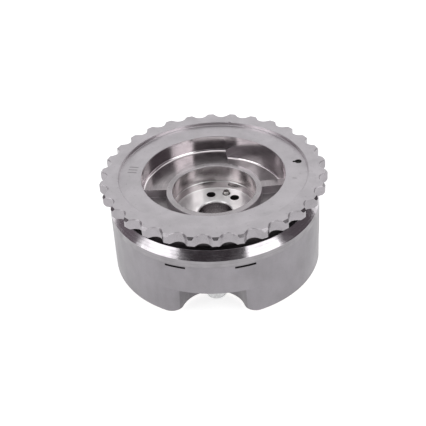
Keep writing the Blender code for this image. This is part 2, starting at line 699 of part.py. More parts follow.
def make_rotor():
    body = prism("rotor", rotor_outline(), ROTOR_BOTTOM, ROTOR_TOP)
    bottom = ROTOR_BOTTOM - BOSS_HEIGHT
    join(body, cylinder("boss", BOSS_RADIUS, bottom, ROTOR_BOTTOM + OVERLAP, steps=arc_steps(0.0, 360.0)))
    cut(body, turned("bolt_hole_and_seat", [
        (0.0, bottom - OVERLAP),
        (BOLT_HOLE_RADIUS, bottom - OVERLAP),
        (BOLT_HOLE_RADIUS, CAMSHAFT_SEAT - BOLT_HOLE_CHAMFER),
        (BOLT_HOLE_RADIUS + BOLT_HOLE_CHAMFER, CAMSHAFT_SEAT),
        (JOURNAL_RADIUS, CAMSHAFT_SEAT),
        (JOURNAL_RADIUS, ROTOR_TOP + OVERLAP),
        (0.0, ROTOR_TOP + OVERLAP),
    ]))
    drill(body, LOCK_BORE_RADIUS, ROTOR_BOTTOM - OVERLAP, ROTOR_TOP + OVERLAP, LOCK_AZIMUTH, LOCK_CIRCLE)
    bottom = CAMSHAFT_SEAT - KNOCK_PIN_SUNK - GAP
    drill(body, KNOCK_PIN_RADIUS + GAP, bottom, CAMSHAFT_SEAT + OVERLAP, KNOCK_PIN_AZIMUTH, KNOCK_PIN_CIRCLE)
    bottom = CAMSHAFT_SEAT - OIL_HOLE_DEPTH
    for azimuth in RETARD_AZIMUTHS + (LOCK_AZIMUTH,):
        drill(body, OIL_HOLE_RADIUS, bottom, CAMSHAFT_SEAT + OVERLAP, azimuth, OIL_CIRCLE)
    outside = HUB_RADIUS + OVERLAP
    height = ROTOR_BOTTOM + RETARD_PORT_ABOVE
    for azimuth in RETARD_AZIMUTHS:
        drill_outward(body, PORT_RADIUS, height, azimuth, OIL_CIRCLE, outside)
    drill_outward(body, PORT_RADIUS, height, LOCK_AZIMUTH, OIL_CIRCLE, LOCK_CIRCLE - LOCK_PIN_RADIUS)
    height = ROTOR_BOTTOM + ADVANCE_PORT_ABOVE
    for azimuth in ADVANCE_AZIMUTHS:
        drill_outward(body, PORT_RADIUS, height, azimuth, BOLT_HOLE_RADIUS - OVERLAP, outside)
    complete(body, "rotor", "rotor_steel")


def make_knock_pin():
    bottom = CAMSHAFT_SEAT - KNOCK_PIN_SUNK
    top = CAMSHAFT_SEAT + KNOCK_PIN_PROUD
    inner = KNOCK_PIN_RADIUS - KNOCK_PIN_CHAMFER
    pin = turned("knock_pin", [
        (0.0, bottom),
        (inner, bottom),
        (KNOCK_PIN_RADIUS, bottom + KNOCK_PIN_CHAMFER),
        (KNOCK_PIN_RADIUS, top - KNOCK_PIN_CHAMFER),
        (inner, top),
        (0.0, top),
    ], polar(KNOCK_PIN_CIRCLE, KNOCK_PIN_AZIMUTH), HOLE_STEPS)
    complete(pin, "knock_pin", "hardened_steel")


# Seals and the leaf springs behind them

def make_seal(name, azimuth, inner, outer, low, high, tip_outward):
    """Strip with its two edges at the sliding face broken."""
    half = SEAL_WIDTH / 2.0
    if tip_outward:
        outline = [(inner, -half), (outer - SEAL_EDGE, -half), (outer, SEAL_EDGE - half)]
        outline += [(outer, half - SEAL_EDGE), (outer - SEAL_EDGE, half), (inner, half)]
    else:
        outline = [(inner, SEAL_EDGE - half), (inner + SEAL_EDGE, -half), (outer, -half)]
        outline += [(outer, half), (inner + SEAL_EDGE, half), (inner, half - SEAL_EDGE)]
    seal = bar(name, outline, low, high, azimuth)
    complete(seal, name, "seal_plastic")


def make_leaf_spring(name, azimuth, inner, low, high, bow_outward):
    """Arched strip, its ends on one side of the groove and its middle on the other."""
    mesh = bmesh.new()
    half = SEAL_WIDTH / 2.0
    slices = []
    for step in range(LEAF_STEPS + 1):
        along = 2.0 * step / LEAF_STEPS - 1.0
        height = (low + high) / 2.0 + along * ((high - low) / 2.0 - LEAF_END_SPACE)
        bow = 1.0 - along ** 2 if bow_outward else along ** 2
        near = inner + LEAF_ARCH * bow
        far = near + LEAF_THICKNESS
        outline = turn_points([(near, -half), (far, -half), (far, half), (near, half)], azimuth)
        slices.append([mesh.verts.new((x, y, height)) for x, y in outline])
    for below, above in zip(slices, slices[1:]):
        wall(mesh, below, above)
    mesh.faces.new(list(reversed(slices[0])))
    mesh.faces.new(slices[-1])
    complete(make_object(name, mesh), name, "spring_steel")


def make_seals():
    for number, azimuth in enumerate(VANE_SEAL_AZIMUTHS, 1):
        inner = VANE_RADIUS - VANE_SEAL_HEIGHT
        make_seal(f"vane_seal_{number}", azimuth, inner, VANE_RADIUS, ROTOR_BOTTOM, ROTOR_TOP, True)
        inner = VANE_GROOVE_RADIUS + GAP
        make_leaf_spring(f"vane_seal_spring_{number}", azimuth, inner, ROTOR_BOTTOM, ROTOR_TOP, True)
    for number, azimuth in enumerate(POCKET_AZIMUTHS, 1):
        outer = SHOE_RADIUS + SHOE_SEAL_HEIGHT
        make_seal(f"shoe_seal_{number}", azimuth, SHOE_RADIUS, outer, ROTOR_BOTTOM, ROTOR_TOP, False)
        make_leaf_spring(f"shoe_seal_spring_{number}", azimuth, outer + GAP, ROTOR_BOTTOM, ROTOR_TOP, False)


# Lock pin and what belongs to it

def make_lock_pin():
    top = ROTOR_TOP
    pin = turned("lock_pin", [
        (0.0, top - LOCK_PIN_CROWN),
        (LOCK_PIN_HOLLOW, top - LOCK_PIN_CROWN),
        (LOCK_PIN_HOLLOW, LOCK_PIN_BOTTOM),
        (LOCK_PIN_RADIUS, LOCK_PIN_BOTTOM),
        (LOCK_PIN_RADIUS, top - LOCK_PIN_NOSE),
        (LOCK_PIN_RADIUS - LOCK_PIN_NOSE, top),
        (0.0, top),
    ], polar(LOCK_CIRCLE, LOCK_AZIMUTH), HOLE_STEPS)
    complete(pin, "lock_pin", "hardened_steel")


def make_lock_pin_seat():
    low = ROTOR_BOTTOM + GAP
    seat = cylinder("seat", LOCK_PIN_RADIUS, low, LOCK_SEAT_TOP, polar(LOCK_CIRCLE, LOCK_AZIMUTH))
    complete(seat, "lock_pin_seat", "hardened_steel")


def make_lock_pin_spring():
    """Round wire wound between the seat and the pin's crown."""
    mesh = bmesh.new()
    low = LOCK_SEAT_TOP + GAP + SPRING_WIRE / 2.0
    high = ROTOR_TOP - LOCK_PIN_CROWN - GAP - SPRING_WIRE / 2.0
    steps = SPRING_TURNS * SPRING_STEPS
    sections = []
    for step in range(steps + 1):
        height = low + (high - low) * step / steps
        section = []
        for reach, rise in arc((SPRING_RADIUS, height), SPRING_WIRE / 2.0, 0.0, 360.0, SPRING_SIDES)[:-1]:
            x, y = polar(reach, 360.0 * step / SPRING_STEPS)
            section.append(mesh.verts.new((x, y, rise)))
        sections.append(section)
    for near, far in zip(sections, sections[1:]):
        wall(mesh, far, near)
    mesh.faces.new(sections[0])
    mesh.faces.new(list(reversed(sections[-1])))
    spring = make_object("spring", mesh, polar(LOCK_CIRCLE, LOCK_AZIMUTH))
    complete(spring, "lock_pin_spring", "spring_steel")


def make_lock_bushing():
    bushing = turned("lock_bushing", [
        (LOCK_BORE_RADIUS, FLANGE_FACE),
        (BUSHING_RADIUS, FLANGE_FACE),
        (BUSHING_RADIUS, BUSHING_TOP),
        (LOCK_BORE_RADIUS, BUSHING_TOP),
    ], polar(LOCK_CIRCLE, LOCK_AZIMUTH + LOCK_SWING), HOLE_STEPS)
    complete(bushing, "lock_bushing", "hardened_steel")


for old in list(bpy.data.objects):
    bpy.data.objects.remove(old)

make_sprocket()
make_housing()
for bolt_number, bolt_azimuth in enumerate(BOLT_AZIMUTHS, 1):
    make_cover_bolt(f"cover_bolt_{bolt_number}", bolt_azimuth)
make_rotor()
make_knock_pin()
make_seals()
make_lock_pin()
make_lock_pin_seat()
make_lock_pin_spring()
make_lock_bushing()
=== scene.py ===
"""Looks of the camshaft timing gear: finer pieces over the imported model, their finishes, and a small studio.

Metres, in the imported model's frame: Z up from the collar's face, azimuths in degrees from +X towards +Y.
"""
import math

import bmesh
import bpy
from mathutils import Matrix, Vector


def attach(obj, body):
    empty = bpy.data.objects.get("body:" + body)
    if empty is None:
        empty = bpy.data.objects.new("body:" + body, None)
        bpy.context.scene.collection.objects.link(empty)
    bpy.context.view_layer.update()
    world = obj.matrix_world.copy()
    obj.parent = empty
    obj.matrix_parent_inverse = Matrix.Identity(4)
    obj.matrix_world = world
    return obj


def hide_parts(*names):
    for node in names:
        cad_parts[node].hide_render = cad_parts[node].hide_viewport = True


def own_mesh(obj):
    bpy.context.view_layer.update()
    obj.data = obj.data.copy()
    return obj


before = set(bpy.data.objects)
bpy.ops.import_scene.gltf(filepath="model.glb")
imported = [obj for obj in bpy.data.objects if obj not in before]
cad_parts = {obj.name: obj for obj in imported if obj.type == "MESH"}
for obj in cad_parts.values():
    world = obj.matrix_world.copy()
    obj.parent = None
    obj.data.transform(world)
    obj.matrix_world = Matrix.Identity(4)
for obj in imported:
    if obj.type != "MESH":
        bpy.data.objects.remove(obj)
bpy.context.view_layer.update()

# Clearances between pieces that touch, slide or are pressed together
GAP = 0.0003

# How round things are cut into flat facets
FACET_DEGREES = 2.0
HOLE_STEPS = 48
FILLET_STEPS = 5
SHARP_ANGLE = 28.0
OVERLAP = 0.001

# Nearness at which a face counts as lying in a plane
CLOSE = 0.0001

# Chain sprocket's teeth, for a roller chain
TEETH = 30
CHAIN_PITCH = 0.0080
ROLLER_SEAT_RADIUS = 0.0025
SEAT_HALF_ANGLE = 47.0
SEAT_STEPS = 16
TIP_ABOVE_PITCH_CIRCLE = 0.0001
TIP_CORNER = 0.0002
TIP_CHAMFER = 0.0008
TOOTH_EDGE = 0.0002
TOOTH_TIP_AZIMUTH = 93.9
TOOTH_PLATE_HEIGHT = 0.0038

# Sprocket's body, from the recess in the tooth plate down to the flange
RIM_WIDTH = 0.0039
RECESS_DEPTH = 0.0013
RECESS_FILLET = 0.00025
RECESS_EDGE = 0.00025
OPENING_EDGE = 0.0003
NECK_WALL = 0.00745
NECK_HEIGHT = 0.00435
CONE_LEDGE = 0.0018
CONE_WIDTH = 0.00215
CONE_HEIGHT = 0.0029
FLANGE_RIM_HEIGHT = 0.00245
FLANGE_EDGE = 0.0002

# Ring round the camshaft's nose, with the land, the rib and the floor beside it
JOURNAL_RADIUS = 0.0142
RING_WIDTH = 0.0022
RING_CHAMFER = 0.0003
RING_HEIGHT = 0.0030
WEB_THICKNESS = 0.0031
FLOOR_FILLET = 0.00075
LAND_FILLET = 0.00105
LAND_FILLET_END = -20.0
LAND_START = 70.0
LAND_END = 181.0
LAND_CUT_AZIMUTH = 100.2
LAND_CUT_REACH = 0.0072
RIB_AZIMUTH = 9.1
RIB_WIDTH = 0.0036

# Two round dimples in the recess: azimuth, distance from the opening's edge, radius
DIMPLES = ((13.3, 0.0052, 0.0012), (13.9, 0.00375, 0.0005))
DIMPLE_DEPTH = 0.0006

# Small notch in the rim's inner edge
NOTCH_AZIMUTH = 81.9
NOTCH_RADIUS = 0.00045
NOTCH_DEPTH = 0.0004

# Housing
BODY_RADIUS = 0.0357
COLLAR_HEIGHT = 0.00095
COLLAR_WIDTH = 0.0021
COLLAR_BORE = 0.01265
COLLAR_CHAMFER = 0.0003
COLLAR_BORE_CHAMFER = 0.0005
END_WALL = 0.00595
LOWER_EDGE_ROUNDING = 0.0020
LOWER_EDGE_STEPS = 8
CHAMBER_WALL = 0.00455

# Scalloped pockets for the cover bolts, each in the middle of a shoe between two chambers
POCKET_AZIMUTHS = (20.0, 160.0, -90.0)
SHOE_HALF_ANGLE = 23.0
POCKET_DEPTH = 0.0111
SCALLOP_INSET = 0.00375
SCALLOP_WALL = 0.0019
SCALLOP_DRAFT = 0.00055
SCALLOP_EDGE = 0.00045
SCALLOP_STEPS = 40
MOUTH_ROUNDING = 0.0047
MOUTH_STEPS = 14

# Slits at the housing's rim and small holes in its end face, with each hole's distance from the outside
SLIT_START = 12.9
SLIT_END = 24.2
SLIT_HEIGHT = 0.00075
SLIT_DEPTH = 0.0023
END_HOLES = ((54.1, 0.0115), (68.5, 0.0131), (93.1, 0.0117), (188.6, 0.01235))
END_HOLE_RADIUS = 0.0015
END_HOLE_DEPTH = 0.00425

# Hairline left where the housing and the rotor meet the flange
SEAM = 0.00003

# Cover bolts
BOLT_AZIMUTHS = (-87.5, 22.5, 160.0)
BOLT_INSET = 0.00505
BOLT_RADIUS = 0.0025
BOLT_THREAD_REACH = 0.0042
BOLT_TIP_CHAMFER = 0.0005
HEAD_RADIUS = 0.00415
HEAD_FLANGE = 0.0017
HEAD_CONE = 0.0006
HEAD_HEIGHT = 0.0036
DOME_RADIUS = 0.0032
DOME_EDGE = 0.0006
HEAD_EDGE = 0.0003
SOCKET_SIDES = 6
SOCKET_RADIUS = 0.0018
SOCKET_DEPTH = 0.0015

# Rotor
ROTOR_HEIGHT = 0.0151
HUB_WALL = 0.0026
SEAT_DEPTH = 0.0029
BOSS_HEIGHT = 0.0006
BOLT_HOLE_RADIUS = 0.00575
BOLT_HOLE_CHAMFER = 0.00055
BOLT_HOLE_EDGE = 0.0003
SEAT_FILLET = 0.0003
RIM_CHAMFER = 0.0004
VANE_CENTRES = (90.0, 215.0, -35.0)
VANE_HALF_ANGLES = (34.0, 15.0, 15.0)
VANE_SEAL_AZIMUTHS = (70.0, 215.0, -35.0)

# Oil holes of the rotor
OIL_CIRCLE = 0.0102
OIL_HOLE_RADIUS = 0.0016
OIL_HOLE_DEPTH = 0.0054
PORT_RADIUS = 0.0011
RETARD_AZIMUTHS = (51.2, 195.0, -15.0)
RETARD_PORT_ABOVE = 0.0079
ADVANCE_AZIMUTHS = (129.0, 235.0, -55.0)
ADVANCE_PORT_ABOVE = 0.0042

# Knock pin in the camshaft seat
KNOCK_PIN_AZIMUTH = 72.2
KNOCK_PIN_CIRCLE = 0.01115
KNOCK_PIN_RADIUS = 0.0011
KNOCK_PIN_PROUD = 0.0011
KNOCK_PIN_SUNK = 0.0035
KNOCK_PIN_CHAMFER = 0.0003

# Seals and leaf springs, which set the depth of their grooves
SEAL_WIDTH = 0.0019
VANE_SEAL_HEIGHT = 0.0020
SHOE_SEAL_HEIGHT = 0.0012
LEAF_THICKNESS = 0.0003
LEAF_ARCH = 0.0006

# Bore of the lock pin with its coil spring, and the hole of the bushing it locks into
LOCK_AZIMUTH = 101.3
LOCK_SWING = 12.0
LOCK_PIN_SHARE = 0.25
LOCK_PIN_CROWN = 0.0028
LOCK_PIN_WALL = 0.0011
LOCK_SEAT_THICKNESS = 0.0019
SPRING_WIRE = 0.00065
SPRING_TURNS = 6
SPRING_STEPS = 24
SPRING_SIDES = 12
BUSHING_WALL = 0.0018
BUSHING_HEIGHT = 0.0033

# Heights that follow from the sizes above
END_FACE = COLLAR_HEIGHT
CHAMBER_FLOOR = END_FACE + END_WALL
POCKET_CEILING = END_FACE + POCKET_DEPTH
ROTOR_BOTTOM = CHAMBER_FLOOR + GAP
ROTOR_TOP = ROTOR_BOTTOM + ROTOR_HEIGHT
CAMSHAFT_SEAT = ROTOR_TOP - SEAT_DEPTH
FLANGE_FACE = ROTOR_TOP + GAP
CONE_BOTTOM = FLANGE_FACE + FLANGE_RIM_HEIGHT
CONE_TOP = CONE_BOTTOM + CONE_HEIGHT
WEB_FLOOR = FLANGE_FACE + WEB_THICKNESS
RING_TOP = WEB_FLOOR + RING_HEIGHT
TOOTH_PLATE_BOTTOM = CONE_TOP + NECK_HEIGHT
TOP_FACE = TOOTH_PLATE_BOTTOM + TOOTH_PLATE_HEIGHT
RECESS_FLOOR = TOP_FACE - RECESS_DEPTH
BOLT_TIP = FLANGE_FACE + BOLT_THREAD_REACH
BUSHING_TOP = FLANGE_FACE + BUSHING_HEIGHT

# Radii of the sprocket that follow from the sizes above
PITCH_RADIUS = CHAIN_PITCH / (2.0 * math.sin(math.pi / TEETH))
ROOT_RADIUS = PITCH_RADIUS - ROLLER_SEAT_RADIUS
TIP_RADIUS = PITCH_RADIUS + TIP_ABOVE_PITCH_CIRCLE
RECESS_RADIUS = ROOT_RADIUS - RIM_WIDTH
CONE_TOP_RADIUS = BODY_RADIUS - CONE_WIDTH
NECK_RADIUS = CONE_TOP_RADIUS - CONE_LEDGE
OPENING_RADIUS = NECK_RADIUS - NECK_WALL
RING_RADIUS = JOURNAL_RADIUS + RING_WIDTH

# Radii of the housing and the rotor that follow from the sizes above
CHAMBER_RADIUS = BODY_RADIUS - CHAMBER_WALL
SCALLOP_CENTRE = BODY_RADIUS - SCALLOP_INSET
SCALLOP_RADIUS = SCALLOP_CENTRE * math.sin(math.radians(SHOE_HALF_ANGLE)) - SCALLOP_WALL
BOLT_CIRCLE = BODY_RADIUS - BOLT_INSET
HUB_RADIUS = JOURNAL_RADIUS + HUB_WALL
SHOE_RADIUS = HUB_RADIUS + GAP
VANE_RADIUS = CHAMBER_RADIUS - GAP
BOSS_RADIUS = COLLAR_BORE - GAP

# Sizes of the lock and the seal grooves that follow from the sizes above
LOCK_CIRCLE = (HUB_RADIUS + CHAMBER_RADIUS) / 2.0
LOCK_PIN_RADIUS = LOCK_PIN_SHARE * (CHAMBER_RADIUS - HUB_RADIUS)
LOCK_BORE_RADIUS = LOCK_PIN_RADIUS + GAP
SPRING_RADIUS = LOCK_PIN_RADIUS - LOCK_PIN_WALL - GAP - SPRING_WIRE / 2.0
SPRING_FOOT = ROTOR_BOTTOM + LOCK_SEAT_THICKNESS + 2.0 * GAP
SPRING_TOP = ROTOR_TOP - LOCK_PIN_CROWN - GAP
BUSHING_RADIUS = LOCK_BORE_RADIUS + BUSHING_WALL
GROOVE_WIDTH = SEAL_WIDTH + 2.0 * GAP
LEAF_HEIGHT = LEAF_ARCH + LEAF_THICKNESS
VANE_GROOVE_RADIUS = VANE_RADIUS - VANE_SEAL_HEIGHT - LEAF_HEIGHT - 2.0 * GAP
SHOE_GROOVE_RADIUS = SHOE_RADIUS + SHOE_SEAL_HEIGHT + LEAF_HEIGHT + 2.0 * GAP

# Engraved marks on the recessed face and the etched field on the housing's end, in millimetres:
# azimuth and distance of the middle, width along the turn, depth along the radius; then the number of strokes
ENGRAVED_MARKS = ((173.4, 27.7, 4.9, 3.1, 3), (-7.2, 27.5, 1.4, 1.4, 1))
ETCHED_FIELD = (-144.6, 25.3, 12.7, 9.45)

# Shading: colour of pores, colour of worn edges that also stands for a painted highlight, how far edges look
# rounded, and the units of relief and turns
PORE_COLOUR = (0.05, 0.045, 0.045)
WORN_AND_HIGHLIGHT_COLOUR = (0.85, 0.82, 0.85)
EDGE_ROUNDING = 0.00012
BEVEL_SAMPLES = 6
MICROMETRE = 0.000001
QUARTER_TURN = 0.25

# Camera, solved from the photograph's tooth tips and edges: its height is above the plane of the rim
CAMERA_AZIMUTH = -85.2
CAMERA_ELEVATION = 35.38
CAMERA_ROLL = 3.60
CAMERA_DISTANCE = 0.35258
CAMERA_DOWN = -0.01400
CAMERA_PLANE = 0.03572
CAMERA_LENS = 88.59
SENSOR_WIDTH = 36.0

# Studio: what the lamps are aimed at, the paper floor, and how brightly the white room lights the object
LOOKED_AT = Vector((0.0, 0.0, 0.03))
FLOOR_WIDTH = 6.0
FLOOR_DROP = 0.0002
PAPER = (0.82, 0.82, 0.82, 1.0)
PAPER_GLOW = 0.72
ROOM_LIGHT = 0.55
WHITE = (1.0, 1.0, 1.0, 1.0)
FLAG_TINT = (1.0, 0.86, 0.95, 1.0)


def polar(radius, azimuth):
    angle = math.radians(azimuth)
    return (radius * math.cos(angle), radius * math.sin(angle))


def arc(centre, radius, start, end, steps):
    """Points of an arc, both ends included."""
    points = []
    for step in range(steps + 1):
        x, y = polar(radius, start + (end - start) * step / steps)
        points.append((centre[0] + x, centre[1] + y))
    return points


def arc_steps(start, end):
    return max(2, round(abs(end - start) / FACET_DEGREES))


def arc_about_axis(radius, start, end):
    return arc((0.0, 0.0), radius, start, end, arc_steps(start, end))


def onward(start, azimuth):
    """The azimuth, counted on from the start."""
    return start + (azimuth - start) % 360.0


def turn_points(points, azimuth):
    """Points turned about the axis."""
    cosine, sine = polar(1.0, azimuth)
    return [(x * cosine - y * sine, x * sine + y * cosine) for x, y in points]


def rectangle(inner, outer, low, high):
    return [(inner, low), (outer, low), (outer, high), (inner, high)]


def rounded(corners):
    """Closed outline whose corners, given as (x, y, rounding), become short arcs."""
    outline = []
    count = len(corners)
    for i, (x, y, rounding) in enumerate(corners):
        here = Vector((x, y))
        back = (Vector(corners[i - 1][:2]) - here).normalized()
        ahead = (Vector(corners[(i + 1) % count][:2]) - here).normalized()
        if rounding == 0.0:
            outline.append((x, y))
            continue
        half = back.angle(ahead) / 2.0
        centre = here + (back + ahead).normalized() * rounding / math.sin(half)
        first = here + back * rounding / math.tan(half) - centre
        last = here + ahead * rounding / math.tan(half) - centre
        for step in range(FILLET_STEPS + 1):
            spoke = first.lerp(last, step / FILLET_STEPS).normalized() * rounding
            outline.append(tuple(centre + spoke))
    return outline


def new_object(name, data):
    thing = bpy.data.objects.new(name, data)
    bpy.context.scene.collection.objects.link(thing)
    return thing


def make_object(name, mesh, place=(0.0, 0.0)):
    """Object from a bmesh, its origin on the vertical line through place."""
    bmesh.ops.recalc_face_normals(mesh, faces=mesh.faces)
    data = bpy.data.meshes.new(name)
    mesh.to_mesh(data)
    mesh.free()
    piece = new_object(name, data)
    piece.location = (*place, 0.0)
    return piece


def wall(mesh, low, high):
    """Side faces between two loops of vertices."""
    count = len(low)
    for i in range(count):
        j = (i + 1) % count
        mesh.faces.new((low[i], low[j], high[j], high[i]))


def stack(name, loops, place=(0.0, 0.0)):
    """Solid through loops of (x, y, z) points, each with the same number of points."""
    mesh = bmesh.new()
    rings = [[mesh.verts.new(point) for point in loop] for loop in loops]
    for low, high in zip(rings, rings[1:]):
        wall(mesh, low, high)
    mesh.faces.new(list(reversed(rings[0])))
    mesh.faces.new(rings[-1])
    return make_object(name, mesh, place)


def prism(name, outline, low, high, place=(0.0, 0.0)):
    """Outline raised from one height to another."""
    return stack(name, [[(x, y, z) for x, y in outline] for z in (low, high)], place)


def turned(name, profile, place=(0.0, 0.0), steps=round(360.0 / FACET_DEGREES)):
    """Solid turned from (radius, height) points; the profile runs up its outer side and is closed."""
    mesh = bmesh.new()
    rings = []
    for radius, height in profile:
        if radius == 0.0:
            rings.append([mesh.verts.new((0.0, 0.0, height))] * steps)
        else:
            ring = [polar(radius, 360.0 * step / steps) for step in range(steps)]
            rings.append([mesh.verts.new((x, y, height)) for x, y in ring])
    for i, low in enumerate(rings):
        high = rings[(i + 1) % len(rings)]
        if low[0] is low[1] and high[0] is high[1]:
            continue
        for a in range(steps):
            b = (a + 1) % steps
            corners = []
            for vertex in (low[a], low[b], high[b], high[a]):
                if vertex not in corners:
                    corners.append(vertex)
            mesh.faces.new(corners)
    return make_object(name, mesh, place)


def turned_part(name, profile, start, end):
    """Solid turned from a closed profile through part of a turn."""
    mesh = bmesh.new()
    slices = []
    for cosine, sine in arc_about_axis(1.0, start, end):
        slices.append([mesh.verts.new((r * cosine, r * sine, z)) for r, z in profile])
    for low, high in zip(slices, slices[1:]):
        wall(mesh, high, low)
    mesh.faces.new(slices[0])
    mesh.faces.new(list(reversed(slices[-1])))
    return make_object(name, mesh)


def cylinder(name, radius, low, high, place=(0.0, 0.0), steps=HOLE_STEPS):
    return turned(name, rectangle(0.0, radius, low, high), place, steps)


def combine(body, tool, operation):
    """Body joined with the tool or cut by it; the tool is used up."""
    modifier = body.modifiers.new(operation.lower(), "BOOLEAN")
    modifier.operation = operation
    modifier.solver = "EXACT"
    modifier.object = tool
    bpy.context.view_layer.update()
    graph = bpy.context.evaluated_depsgraph_get()
    result = bpy.data.meshes.new_from_object(body.evaluated_get(graph))
    body.modifiers.clear()
    body.data = result
    bpy.data.objects.remove(tool)


def cut(body, tool):
    combine(body, tool, "DIFFERENCE")


def join(body, tool):
    combine(body, tool, "UNION")


def drill(body, radius, low, high, azimuth, reach):
    """Upright hole at this azimuth and distance from the axis."""
    cut(body, cylinder("drill", radius, low, high, polar(reach, azimuth)))


def drill_outward(body, radius, height, azimuth, inner, outer):
    """Hole along a radius, from one distance to another."""
    tool = cylinder("drill", radius, inner, outer)
    tool.data.transform(Matrix.Rotation(math.radians(90.0), 4, "Y"))
    tool.data.transform(Matrix.Rotation(math.radians(azimuth), 4, "Z"))
    tool.data.transform(Matrix.Translation((0.0, 0.0, height)))
    cut(body, tool)


# Node trees

def add(tree, kind, sockets=None, **settings):
    """One shader node, its sockets set or linked."""
    node = tree.nodes.new("ShaderNode" + kind)
    for name, value in settings.items():
        setattr(node, name, value)
    for name, value in (sockets or {}).items():
        if isinstance(value, bpy.types.NodeSocket):
            tree.links.new(value, node.inputs[name])
        else:
            node.inputs[name].default_value = value
    return node


def new_finish(name):
    material = bpy.data.materials.new(name)
    material.use_nodes = True
    tree = material.node_tree
    return material, tree, tree.nodes["Principled BSDF"]


def in_millimetres(tree):
    """Position on the object, in millimetres."""
    place = add(tree, "TexCoord")
    scaled = add(tree, "VectorMath", {0: place.outputs["Object"], "Scale": 1000.0}, operation="SCALE")
    return scaled.outputs["Vector"]


def radius_and_height(tree, point):
    """Distance from the axis and height, in millimetres."""
    split = add(tree, "SeparateXYZ", {"Vector": point})
    flat = add(tree, "CombineXYZ", {"X": split.outputs["X"], "Y": split.outputs["Y"]})
    length = add(tree, "VectorMath", {0: flat.outputs["Vector"]}, operation="LENGTH")
    return length.outputs["Value"], split.outputs["Z"]


def noise(tree, point, scale, detail=3.0, roughness=0.55):
    node = add(tree, "TexNoise", {"Vector": point, "Scale": scale, "Detail": detail, "Roughness": roughness})
    return node.outputs["Fac"]


def noise_along(tree, value, scale, detail=4.0):
    """Noise that changes along one value only, such as turning marks along a radius."""
    node = add(tree, "TexNoise", {"W": value, "Scale": scale, "Detail": detail}, noise_dimensions="1D")
    return node.outputs["Fac"]


def remap(tree, value, low, high, to_low, to_high):
    sockets = {"Value": value, "From Min": low, "From Max": high, "To Min": to_low, "To Max": to_high}
    return add(tree, "MapRange", sockets).outputs["Result"]


def blend_colours(tree, factor, first, second):
    node = add(tree, "Mix", {"Factor": factor}, data_type="RGBA")
    for socket, colour in ((node.inputs[6], first), (node.inputs[7], second)):
        if isinstance(colour, bpy.types.NodeSocket):
            tree.links.new(colour, socket)
        else:
            socket.default_value = (*colour, 1.0)
    return node.outputs[2]


def mottled(tree, value, margin, dark, light):
    """Colour that turns from dark to light while a noise crosses the middle, this far to each side."""
    return blend_colours(tree, remap(tree, value, 0.5 - margin, 0.5 + margin, 0.0, 1.0), dark, light)


def calculate(tree, operation, *values):
    return add(tree, "Math", dict(enumerate(values)), operation=operation).outputs["Value"]


def plus(tree, first, second):
    return calculate(tree, "ADD", first, second)


def times(tree, first, second):
    return calculate(tree, "MULTIPLY", first, second)


def set_surface(tree, shader, colour, roughness, metallic=1.0):
    tree.links.new(colour, shader.inputs["Base Color"])
    tree.links.new(roughness, shader.inputs["Roughness"])
    shader.inputs["Metallic"].default_value = metallic


def set_bump(tree, shader, height, depth, edge=0.0):
    """Relief of this depth in micrometres, over edges rounded by the edge radius."""
    bump = add(tree, "Bump", {"Height": height, "Strength": 1.0, "Distance": depth * MICROMETRE})
    if edge:
        bevel = add(tree, "Bevel", {"Radius": edge}, samples=BEVEL_SAMPLES)
        tree.links.new(bevel.outputs["Normal"], bump.inputs["Normal"])
    tree.links.new(bump.outputs["Normal"], shader.inputs["Normal"])


def sharp_edges(tree, radius):
    """1 on sharp edges, where the rounded and the plain direction of the surface differ."""
    bevel = add(tree, "Bevel", {"Radius": radius}, samples=BEVEL_SAMPLES)
    surface = add(tree, "NewGeometry")
    directions = {0: bevel.outputs["Normal"], 1: surface.outputs["Normal"]}
    alike = add(tree, "VectorMath", directions, operation="DOT_PRODUCT").outputs["Value"]
    return remap(tree, alike, 0.85, 0.98, 1.0, 0.0)


def inside(tree, value, limit):
    """1 where the value is nearer to zero than the limit."""
    return calculate(tree, "LESS_THAN", calculate(tree, "ABSOLUTE", value), limit)


def field(tree, point, azimuth, reach, width, depth):
    """1 inside a rectangle on a face, and the place across its width; the middle's distance is the reach."""
    turn = (0.0, 0.0, -math.radians(azimuth))
    moved = add(tree, "Mapping", {"Vector": point, "Rotation": turn, "Location": (-reach, 0.0, 0.0)})
    split = add(tree, "SeparateXYZ", {"Vector": moved.outputs["Vector"]})
    along, across = split.outputs["X"], split.outputs["Y"]
    mask = times(tree, inside(tree, along, depth / 2.0), inside(tree, across, width / 2.0))
    return mask, across


def strokes(tree, point, azimuth, reach, width, depth, count):
    """Short engraved strokes side by side in a rectangle."""
    mask, across = field(tree, point, azimuth, reach, width, depth)
    wave = calculate(tree, "COSINE", times(tree, across, 2.0 * math.pi * count / width))
    return times(tree, mask, remap(tree, wave, 0.45, 0.65, 0.0, 1.0))


